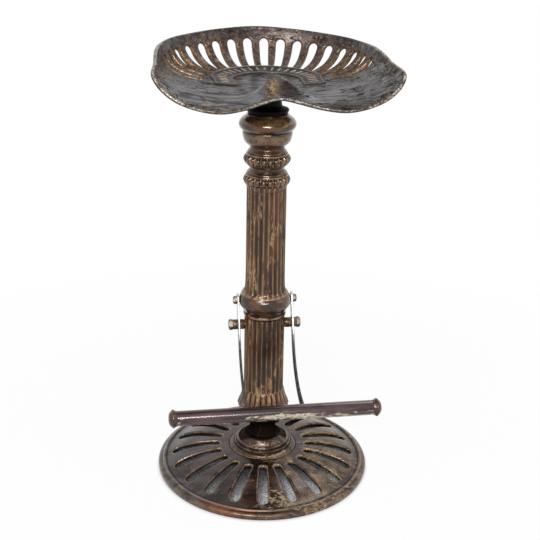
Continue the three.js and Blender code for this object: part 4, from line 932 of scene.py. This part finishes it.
def bored_piece(name, outer, bore, slot, finish, node, wear_and_light, soot_and_shade):
    """A ring of the stand, from its outer face, a grid from foot to top, closed over a plain bore."""
    ends = outer[[-1, 0], :1, 2]
    columns = outer.shape[1]
    grid = np.concatenate([outer, round_axis(bore, ends, turn_angles(columns))])
    pad = np.zeros((2, columns))
    marks = {mark: [np.concatenate([np.broadcast_to(np.clip(values, 0, 1), outer.shape[:2]), pad])]
             for mark, values in (("wear_and_light", wear_and_light), ("soot_and_shade", soot_and_shade))}
    quads = grid_faces(len(grid), columns, over=True)
    return make_piece(name, [(grid, quads)], "stand", slot, finish, [node], crease=50, marks=marks)


def sector_offset(angle, count):
    """Distance from the middle of the nearest of `count` equal sectors, from -1/2 to 1/2 of a sector."""
    return (angle * count / WHOLE_TURN) % 1 - 0.5


def flute_depth(radius, height, low, high, depth, angle=column_angle):
    """Grooves with round ends: a rounded section of the distance from the groove's line, which beyond its
    ends is measured to the end's point."""
    across = sector_offset(angle, FLUTES) * WHOLE_TURN * radius / FLUTES
    half_width = 0.42 * WHOLE_TURN * radius / FLUTES
    beyond = np.maximum(np.maximum(low + half_width - height, height - high + half_width), 0)
    away = np.clip(np.hypot(across, beyond) / half_width, 0, 1)
    return depth * (1 - away**2.6) ** 0.75


def leaves(height, low, high, depth):
    """Upright lobes round the flare, one under each flute: round in section, with narrow gaps between them,
    fading out at their lower and upper ends."""
    offset = np.abs(sector_offset(column_angle, FLUTES)) * 2
    lobe = np.sqrt(np.clip(1 - np.clip(offset / 0.98, 0, 1) ** 2.2, 0, 1))
    reach = np.sin(pi * np.clip((height - low) / (high - low), 0, 1)) ** 0.5
    return depth * (lobe - 0.72) * reach


def fluted_piece(name, outline, heights, relief, marks, bore, node):
    """A casting whose radius is a smoothed outline at each height plus a relief round it. `marks` gives the
    wear and the soot from the height and the relief."""
    line = cut_corners(outline)
    height = np.asarray(heights, float)[:, None]
    radius = np.interp(height, line[:, 1], line[:, 0])
    carved = relief(radius, height)
    outer = round_axis(radius + carved, height, column_angle)
    return bored_piece(name, outer, bore, "worn_iron", column_finish, node, *marks(height, carved))


LOWER_OUTLINE = [(25.5, 63.3), (24, 67), (24, 83), (24.6, 88), (27.5, 95), (31.5, 104), (37.5, 113),
                 (43, 119), (46.4, 123.8), (46.3, 127), (42.6, 133.5), (39.7, 142), (38, 150), (36.6, 158),
                 (36.1, 162.3), (36, 200), (36, 299.3), (36.2, 301.5), (37.6, 303), (37.9, 305),
                 (37.4, 307), (36.4, 307.7)]
LOWER_HEIGHTS = np.concatenate([np.linspace(63.3, 118, 24, endpoint=False),
                                np.linspace(118, 168, 44, endpoint=False),
                                np.linspace(168, 292, 20, endpoint=False), np.linspace(292, 307.7, 26)])
UPPER_OUTLINE = [(34, 340.6), (41.6, 342.2), (41.2, 343.6), (38.8, 346.4), (36.9, 349.6), (35.6, 354),
                 (34.9, 366), (34.6, 400), (34.4, 440), (34.3, 520), (34.2, 533)]
UPPER_HEIGHTS = np.concatenate([[340.6, 341.2, 341.8], np.linspace(342.2, 366, 34, endpoint=False),
                                np.linspace(366, 533, 26)])


def lower_relief(radius, height):
    """Lobes round the flare and flutes up the shaft."""
    return leaves(height, 120, 158, 4.6) - flute_depth(radius, height, 156, 300.5, 2.4)


def lower_marks(height, relief):
    """Worn on the ring at the top and the ridges between the flutes, a painted highlight on the lobes'
    upper ends, sooty between the lobes and in the crease under the ring, and painted shade on the neck
    below them."""
    shaft = smooth((height - 152) / 8) * (height < 300)
    lobes = smooth((height - 118) / 6) * (1 - shaft) * (height < 300)
    # painted highlight: pale on the upper ends of the lobes' crowns
    lobe_highlight = lobes * smooth((relief - 0.4) / 0.6) * smooth((height - 138) / 10)
    wear_and_light = bell(height, 305, 1.2) + 0.85 * shaft * smooth((relief + 0.7) / 0.6) + 0.9 * lobe_highlight
    soot_and_shade = smooth((-relief - 0.9) / 1.3) * shaft * 0.4 + lobes * smooth((-0.2 - relief) / 1.4)
    # painted shade: the neck below the flare is darkened as if the flare shaded it
    return wear_and_light, np.clip(soot_and_shade + smooth((124 - height) / 8), 0, None) + 0.8 * bell(height, 301.4, 1.0)


def upper_relief(radius, height):
    """A slight swelling at the foot and flutes up the shaft, which run on into the capital."""
    return 0.5 * smooth((350 - height) / 6) - flute_depth(radius, height, 344.5, 560, 2.0)


def upper_marks(height, relief):
    """Worn on the ridges between the flutes and at their feet, sooty in the crease below."""
    wear_and_light = smooth((relief + 0.8) / 0.7) * 0.8 + bell(height, 345.5, 2.2) * smooth((relief + 0.6) / 0.6)
    return wear_and_light, smooth((-relief - 0.9) / 1.2) * 0.4 + smooth((343.4 - height) / 1.2)


fluted_piece("lower_fluted_column", LOWER_OUTLINE, LOWER_HEIGHTS, lower_relief, lower_marks,
             LOWER_BORE, "lower_column")
fluted_piece("upper_fluted_column", UPPER_OUTLINE, UPPER_HEIGHTS, upper_relief, upper_marks,
             UPPER_BORE, "upper_column")

CAPITAL_OUTLINE = [(34, 533.3), (34.2, 536), (34.6, 539), (35.2, 541.2), (37.4, 544.2), (38.8, 548),
                   (38.8, 551), (37.8, 555), (36.2, 557.6), (36.4, 558.6), (36, 559.6), (35, 560.4),
                   (34.9, 561.4), (34.4, 563), (32.8, 565), (30.8, 566.6), (29.9, 567.8), (29.9, 569.2),
                   (30.8, 571.8), (33, 574.8), (34.8, 576.6), (35.2, 577.4), (37.4, 580.4), (38.8, 584),
                   (38.8, 587), (37.6, 590.8), (35.4, 593.4), (35.6, 594.4), (35.2, 595.4), (34, 596.2),
                   (33.9, 597.2), (33.4, 598.8), (31.8, 600.8), (30, 602.6), (29.1, 604.6), (29.6, 606.8),
                   (32.4, 609.4), (36.4, 612.8), (38.8, 616), (40.3, 619.6), (41.2, 623), (42, 627),
                   (42.2, 631), (41.6, 633), (40.8, 633.6)]
CAPITAL_ROWS = 200
BEAD_RINGS = ((541.2, 557.4), (577.4, 593.2))
BEAD_SWELL = 3.0
WORN_LEVELS = (558.7, 594.6)
DIRTY_LEVELS = (560.8, 568.4, 596.6, 605)


def bead_swell(height, low, high):
    """Egg-shaped beads standing in a ring, with a thin upright line between each two: an ellipse of the
    offset across and the height, and a bell at the sector's edge, over a shallow hollow. Gives the swell,
    the eggs and the lines."""
    offset = sector_offset(capital_angle, BEADS)
    up = (height - (low + high) / 2) / ((high - low) / 2)
    egg_half_width = 0.35 + 0.02 * np.clip(up, -1, 1)
    egg = np.sqrt(np.clip(1 - (offset / egg_half_width) ** 2 - np.abs(up) ** 2.4, 0, 1))
    line = 0.75 * bell(np.abs(offset), 0.5, 0.1) * smooth((1 - np.abs(up)) / 0.2)
    hollow = -0.55 * smooth((1 - np.abs(up)) / 0.15)
    return np.array([BEAD_SWELL * (egg + line + hollow), egg, line])


def beaded_capital():
    """The capital: its outline turned, with two rings of beads below its two swellings. Worn on the narrow
    rings, the lines, the ridges at the foot and the bowl, a painted highlight on each egg's crown, dirty in
    between."""
    line = spread(cut_corners(CAPITAL_OUTLINE), CAPITAL_ROWS)
    radius, height = line[:, :1], line[:, 1:]
    swell, eggs, lines = sum(bead_swell(height, *ring) for ring in BEAD_RINGS)
    flutes = flute_depth(radius, height, 520, 541.2, 2.0, capital_angle)
    outer = round_axis(radius + swell - flutes, height, capital_angle)
    in_ring = sum((height > low) & (height < high) for low, high in BEAD_RINGS)
    ridges = (height < 541) * smooth((0.8 - flutes) / 0.7)
    bowl = smooth((height - 612) / 8) * smooth((632 - height) / 4)
    # the term on the eggs is a painted highlight: a pale spot on each egg's crown
    wear_and_light = (0.32 * bowl + 0.8 * sum(bell(height, level, 0.9) for level in WORN_LEVELS) + lines * 1.5
            + 0.5 * smooth((eggs - 0.86) / 0.12) + 0.8 * ridges)
    dirt = in_ring * smooth((0.25 - eggs - lines * 2) / 0.25)
    dirt = dirt + 0.55 * sum(bell(height, level, 1.1) for level in DIRTY_LEVELS)
    return bored_piece("beaded_capital", outer, CAPITAL_BORE, "cast_iron", capital_finish, "capital", wear_and_light,
                       dirt * 0.9 + eggs * 0.08)


beaded_capital()

# Collar, swivel cap and seat neck

COLLAR_OUTLINE = [(27, 308), (35.6, 308), (36.2, 309), (38, 312), (40.5, 316), (42.5, 319.8),
                  (44.6, 322.5), (45.6, 325.5), (45.8, 329), (45.6, 333), (45, 336), (43.6, 339.3),
                  (40.8, 342.8), (38.3, 346.6), (36.8, 348.4), (36.2, 349.7), (27, 349.7), (27, 308)]
CAP_OUTLINE = [(14.6, 634), (42, 634), (43.4, 635.2), (45.4, 637.6), (47.2, 640.2), (48.3, 643.4),
               (48.2, 646.6), (46.7, 650), (44.7, 653), (41.6, 655.8), (38, 658), (36, 659.4),
               (35.2, 661.7), (14.6, 661.7), (14.6, 634)]
NECK_OUTLINE = [(10.3, 664.3), (33.2, 664.3), (34.8, 665.3), (35.4, 668), (34.6, 670), (32, 671),
                (27, 672), (24, 674), (22.9, 678), (22.8, 690), (23.5, 693), (10.3, 693), (10.3, 664.3)]


def cap_wear_and_light(grid):
    """Half worn on the swivel cap's shoulder; the pale band is also painted light on the upper slope."""
    height = grid[..., 2]
    return 0.5 * smooth((height - 646) / 5) * smooth((660 - height) / 3)


turned_piece("collar_moulding", COLLAR_OUTLINE, 96, "stand", "cast_iron", capital_finish, ["collar_ring"])
turned_piece("swivel_moulding", CAP_OUTLINE, 96, "stand", "cast_iron", capital_finish, ["swivel_cap"],
             worn=cap_wear_and_light)
turned_piece("seat_neck", NECK_OUTLINE, 72, "seat", "cast_iron", shade_dark_hub_finish, ["seat_hub"])

# Footrest

PIVOT_Z, STOP_Z = 330.0, 283.0
BAR_Y, BAR_Z, BAR_RADIUS, BAR_HALF = -152.4, 184.9, 12.7, 166.0
SLEEVE_RADIUS, REST_GAP = 9.0, 0.3
STRAP_HALF, STRAP_THICK, STRAP_HEAD, STRAP_X = 9.0, 3.2, 12.0, 46.4
STRAP_LEAN = asin((SLEEVE_RADIUS + REST_GAP + STRAP_HALF) / (PIVOT_Z - STOP_Z))
BEND_RADIUS = 118.2
INTO_BAR = 14
STRAP_COLUMNS = 28


def strap_path(count):
    """Side view of an arm from its head to the bar: straight and leaning forward, then a quarter bend less
    the lean, then level into the bar. Gives points, the direction across, half the width, which is round at
    the head, and how far along each point lies."""
    lean, sweep = STRAP_LEAN, QUARTER_TURN - STRAP_LEAN
    straight = (PIVOT_Z - BAR_Z - BEND_RADIUS * (1 - sin(lean))) / cos(lean)
    head_end, bend_end = STRAP_HALF - STRAP_HEAD, straight + BEND_RADIUS * sweep
    head = -STRAP_HEAD + STRAP_HALF * (1 - np.cos(np.linspace(0, QUARTER_TURN, 12, endpoint=False)))
    at = np.concatenate([head, np.linspace(head_end, bend_end + INTO_BAR, count)])
    angle = lean + np.clip((at - straight) / BEND_RADIUS, 0, sweep)
    direction = np.stack([-np.sin(angle), -np.cos(angle)], -1)
    on_line = np.array([-sin(lean), -cos(lean)]) * np.minimum(at, straight)[:, None]
    on_bend = BEND_RADIUS * np.stack([np.cos(angle) - cos(lean), sin(lean) - np.sin(angle)], -1)
    point = on_line + on_bend + np.maximum(at - bend_end, 0)[:, None] * direction
    head_half = np.sqrt(np.clip(STRAP_HALF**2 - (at - head_end) ** 2, 0, None))
    across = np.stack([-direction[:, 1], direction[:, 0]], -1)
    return point, across, np.where(at < head_end, head_half, STRAP_HALF), at


def rounded_side(wave):
    """A sine wave squared off: its sign times the fourth root of its size."""
    return np.sign(wave) * np.abs(wave) ** 0.25


def strap_piece(name, sign, node):
    """An arm: a flat section with rounded edges carried along the strap's path, narrowing to its round
    head. A painted highlight along the front edge near the pivot, dirty further down."""
    point, side, width, at = strap_path(60)
    turn = turn_angles(STRAP_COLUMNS)
    flat, thick = rounded_side(np.cos(turn)), rounded_side(np.sin(turn))
    offset = width[:, None] * flat
    x = sign * (STRAP_X + STRAP_THICK / 2) + thick * STRAP_THICK / 2
    grid = to_points(x, point[:, :1] + side[:, :1] * offset, PIVOT_Z + point[:, 1:] + side[:, 1:] * offset)
    end_quads = grid_faces(2, STRAP_COLUMNS)
    ends = [(np.stack([ring, np.broadcast_to(ring.mean(0), ring.shape)]), end_quads)
            for ring in grid[[0, -1]]]
    # painted highlight: near white along the front edge near the pivot
    bright = 0.6 * smooth((-flat - 0.6) / 0.3) * smooth((72 - at)[:, None] / 40)
    dirty = np.broadcast_to(0.95 * smooth((at[:, None] - 48) / 45), grid.shape[:2])
    pad = [np.zeros((2, STRAP_COLUMNS))] * 2
    parts = [(grid, grid_faces(len(grid), STRAP_COLUMNS)), *ends]
    return make_piece(name, parts, "footrest", "bright_steel", arm_finish, [node], crease=50,
                      marks={"wear_and_light": [bright, *pad], "soot_and_shade": [dirty, *pad]})


TUBE_LINE = [(BAR_RADIUS - 2, -BAR_HALF), (BAR_RADIUS - 0.3, -BAR_HALF),
             *((BAR_RADIUS, x) for x in np.linspace(0.4 - BAR_HALF, BAR_HALF - 0.4, 41)),
             (BAR_RADIUS - 0.3, BAR_HALF), (BAR_RADIUS - 2, BAR_HALF), (BAR_RADIUS - 2, -BAR_HALF)]


def bared_tube(grid):
    """Where the tube's finish flakes: low along the front from left of the middle on, underneath, and at
    both ends."""
    x, height = grid[..., 0], grid[..., 2]
    low = smooth((BAR_Z + 6 - height) / 5) * smooth((x + 68) / 40) * lerp(0.7, 1.0, smooth((140 - x) / 90))
    under = 0.85 * smooth((BAR_Z - 6 - height) / 3)
    ends = 0.8 * smooth((np.abs(x) - 150) / 10) * smooth((BAR_Z + 9 - height) / 6)
    return np.maximum(np.maximum(low, under), ends)


turned_piece("foot_tube", TUBE_LINE, 72, "footrest", "bright_steel", bar_steel(), ["foot_bar"], rounds=0,
             lay=(1, (0, BAR_Y, BAR_Z)), worn=bared_tube, crease=30)

KNOB_LINE = cut_corners([(12.9, 0.3), (13.2, 1.2), (13.4, 3.2), (14.6, 4.4), (15.5, 5.6), (15.6, 7.2),
                         (14.6, 9), (13.2, 10.2), (12.2, 11.2), (10.6, 12.8), (7.6, 14.2), (3.5, 14.8),
                         (0, 14.9)])
PLUG_LINE = [(0, -11.7), (10.4, -11.7), (10.4, 0.3)]
KNOB_AND_PLUG = [*PLUG_LINE, *KNOB_LINE]
SLEEVE_LINE = [(5.3, 36.3), (8.6, 36.3), (SLEEVE_RADIUS, 37), (SLEEVE_RADIUS, 56.8), (8.5, 57.6),
               (5.3, 57.6), (5.3, 36.3)]

# Bolts

BOLT_COLUMNS = 72
HEAD_SHARES = np.array([0, 0.06, 0.5, 0.72, 0.82, 0.9, 0.96, 1.0])
HEAD_HEIGHT = 6.6
# Height of the bolt's axis, head's width, where the head and the shank begin along X, shank's radius
BOLTS = {"pivot": (PIVOT_Z, 12.6, 49.9, 32, 4), "stop": (STOP_Z, 17, 57.9, 30, 5)}


def hexagon_bolt(kind, side_name, sign):
    """A bolt: a hexagon bounded by a cone at its outer face, with a low crown, and the shank behind it. The
    radius is the smaller of the hexagon's and the cone's."""
    axis_height, width, start, shank_start, shank = BOLTS[kind]
    face = start + HEAD_HEIGHT
    angle = turn_angles(BOLT_COLUMNS)
    flat = (width / 2) / np.cos((angle + pi / 6) % (pi / 3) - pi / 6)
    corner = width / 2 / cos(pi / 6)
    cone = corner * (1.0 - 0.9 * np.clip(HEAD_SHARES - 0.66, 0, 1) ** 1.35)
    cone[0] = corner * 0.985
    head = round_axis(np.minimum(flat, cone[:, None]), (start + HEAD_SHARES * HEAD_HEIGHT)[:, None], angle)
    crown = [(width * 0.36, face + 0.12), (width * 0.2, face + 0.3), (0, face + 0.34)]
    back = [(0, shank_start), (shank, shank_start), (shank, start)]
    behind, ahead = (turn_grid(np.array(line), BOLT_COLUMNS) for line in (back, crown))
    grid = np.concatenate([behind, head, ahead])
    wear_and_light = np.zeros(grid.shape[:2])
    wear_and_light[len(back):] = 0.12
    grid = along_x(grid, sign, (0, 0, axis_height))
    parts = [(grid, grid_faces(len(grid), BOLT_COLUMNS))]
    return make_piece(f"{kind}_hexagon_{side_name}", parts, "stand", "steel", bolt_finish,
                      [f"{kind}_bolt_{side_name}"], crease=28, marks={"wear_and_light": [wear_and_light]})


for side_name, sign in (("left", -1), ("right", 1)):
    strap_piece(f"strap_{side_name}", sign, f"foot_arm_{side_name}")
    turned_piece(f"bar_knob_{side_name}", KNOB_AND_PLUG, 64, "footrest", "worn_iron", capital_finish,
                 [f"foot_bar_cap_{side_name}"], rounds=0, lay=(sign, (sign * BAR_HALF, BAR_Y, BAR_Z)))
    hexagon_bolt("pivot", side_name, sign)
    hexagon_bolt("stop", side_name, sign)
    turned_piece(f"stop_spacer_{side_name}", SLEEVE_LINE, 48, "stand", "worn_iron", bolt_finish,
                 [f"stop_sleeve_{side_name}"], rounds=1, lay=(sign, (0, 0, STOP_Z)), crease=40)

# Finishes of the frame's own pieces

KEPT_FINISHES = {"column_screw": column_finish, "thrust_washer": shade_dark_hub_finish, "swivel_bush": bearing_finish}
for node_name in ("tie_rod", "tie_washer_lower", "tie_nut_lower", "tie_washer_upper", "tie_nut_upper",
                  "swivel_bush", "thrust_washer", "swivel_spindle", "spindle_washer", "spindle_nut",
                  "column_screw", "cap_screw", "hub_screw"):
    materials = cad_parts[node_name].data.materials
    materials.clear()
    materials.append(KEPT_FINISHES.get(node_name, rod_finish))

# Floor and world

# Half the floor's side, its drop below the base, and the radii between which it opens out of the shade
FLOOR_HALF, FLOOR_DROP = 9.0, 0.0005
UNDER_BASE, OPEN_FLOOR = 0.188, 0.2
PAPER = linear_grey(0.82)


def floor_finish():
    """White paper. The camera and reflections see it brightened towards white, the more the further out,
    and not at all under the base. There it is a speckled grey that darkens towards the back: painted
    shade, standing in for the light that comes only through the slots."""
    material = bpy.data.materials.new("white floor")
    f = Nodes(material)
    f.nodes.clear()
    away = f.add("VectorMath", f.place, operation="LENGTH").outputs["Value"]
    in_open = f.band(away, UNDER_BASE, OPEN_FLOOR, shape="LINEAR")
    far_out = f.band(away, OPEN_FLOOR, 1.2, 0.93, 1.0, "LINEAR")
    specks = f.band(f.noise(1 / 420, 3, 0.5), 0.4, 0.64, 0.2, 0.85, "LINEAR")
    # painted shade: the speckles darken towards the back under the base
    grit_and_shade = f.product(specks, f.band(f.along(1), -0.12, -0.04, 1.0, 0.3, "LINEAR"))
    # under the base the paper takes the darker speckled grey: painted shade
    paper = f.add("BsdfDiffuse", f.mix(in_open, grit_and_shade, PAPER)).outputs[0]
    glow = f.add("Emission", WHITE).outputs[0]
    seen = f.product(f.seen_by("Camera", "Glossy"), in_open, far_out)
    f.add("OutputMaterial", f.add("MixShader", seen, paper, glow).outputs[0])
    return material


def white_floor():
    """A square of floor just under the base."""
    mesh = bpy.data.meshes.new("floor")
    signs = ((-1, -1), (1, -1), (1, 1), (-1, 1))
    corners = [(x * FLOOR_HALF, y * FLOOR_HALF, -FLOOR_DROP) for x, y in signs]
    mesh.from_pydata(corners, [], [(0, 1, 2, 3)])
    mesh.materials.append(floor_finish())
    floor = bpy.data.objects.new("floor", mesh)
    bpy.context.scene.collection.objects.link(floor)


def set_world(grey):
    """Plain grey light from all round; the camera, reflections and glass see white."""
    world = bpy.data.worlds.new("studio")
    bpy.context.scene.world = world
    f = Nodes(world)
    background = f.nodes["Background"]
    seen = f.seen_by("Camera", "Glossy", "Transmission")
    f.put(background.inputs["Color"], f.mix(seen, linear_grey(grey), WHITE))
    f.put(background.inputs["Strength"], 1.0)


white_floor()
set_world(0.25)

# Lamps and camera

# Place and aim in metres, size in metres, power in watts
LAMPS = {"key": ((-1.0, -1.6, 2.6), (0, 0, 0.45), (0.7, 0.5), 27),
         "strip": ((-0.45, -2.3, 1.6), (0, 0, 0.35), (1.2, 0.14), 54),
         "fill": ((2.2, -1.0, 1.4), (0, 0, 0.4), (1.2, 1.2), 6),
         "rear": ((1.1, 1.3, 3.0), (0, 0, 0.6), (1.0, 1.0), 12)}

for lamp_name, (place, aim, size, power) in LAMPS.items():
    lamp = bpy.data.lights.new(lamp_name, "AREA")
    lamp.shape = "RECTANGLE"
    lamp.size, lamp.size_y = size
    lamp.energy = power
    holder = bpy.data.objects.new(lamp_name, lamp)
    holder.location = place
    holder.rotation_euler = (Vector(aim) - Vector(place)).to_track_quat("-Z", "Y").to_euler()
    bpy.context.scene.collection.objects.link(holder)

# Place in metres, angles in degrees turned to radians, lens and sensor in millimetres
CAMERA_PLACE = (-0.2287, -1.5146, 0.9547)
CAMERA_TURN, CAMERA_PITCH, CAMERA_ROLL = radians(8.9), radians(20.41), radians(1.07)
CAMERA_LENS, SENSOR_WIDTH = 62.0, 36.0


def set_camera():
    """The photograph's view: turned about the upright, tipped down and rolled a little."""
    turn = Matrix.Rotation(-CAMERA_TURN, 3, "Z")
    right = turn @ Vector((1, 0, 0))
    ahead = turn @ Vector((0, cos(CAMERA_PITCH), -sin(CAMERA_PITCH)))
    up = turn @ Vector((0, sin(CAMERA_PITCH), cos(CAMERA_PITCH)))
    tilted_right = right * cos(CAMERA_ROLL) + up * sin(CAMERA_ROLL)
    tilted_up = up * cos(CAMERA_ROLL) - right * sin(CAMERA_ROLL)
    data = bpy.data.cameras.new("view")
    data.lens, data.sensor_width = CAMERA_LENS, SENSOR_WIDTH
    data.clip_start, data.clip_end = 0.05, 50
    camera = bpy.data.objects.new("view", data)
    facing = Matrix((tilted_right, tilted_up, -ahead)).transposed()
    camera.matrix_world = Matrix.LocRotScale(Vector(CAMERA_PLACE), facing, None)
    bpy.context.scene.collection.objects.link(camera)
    bpy.context.scene.camera = camera


set_camera()
bpy.context.scene.view_settings.view_transform = "Standard"
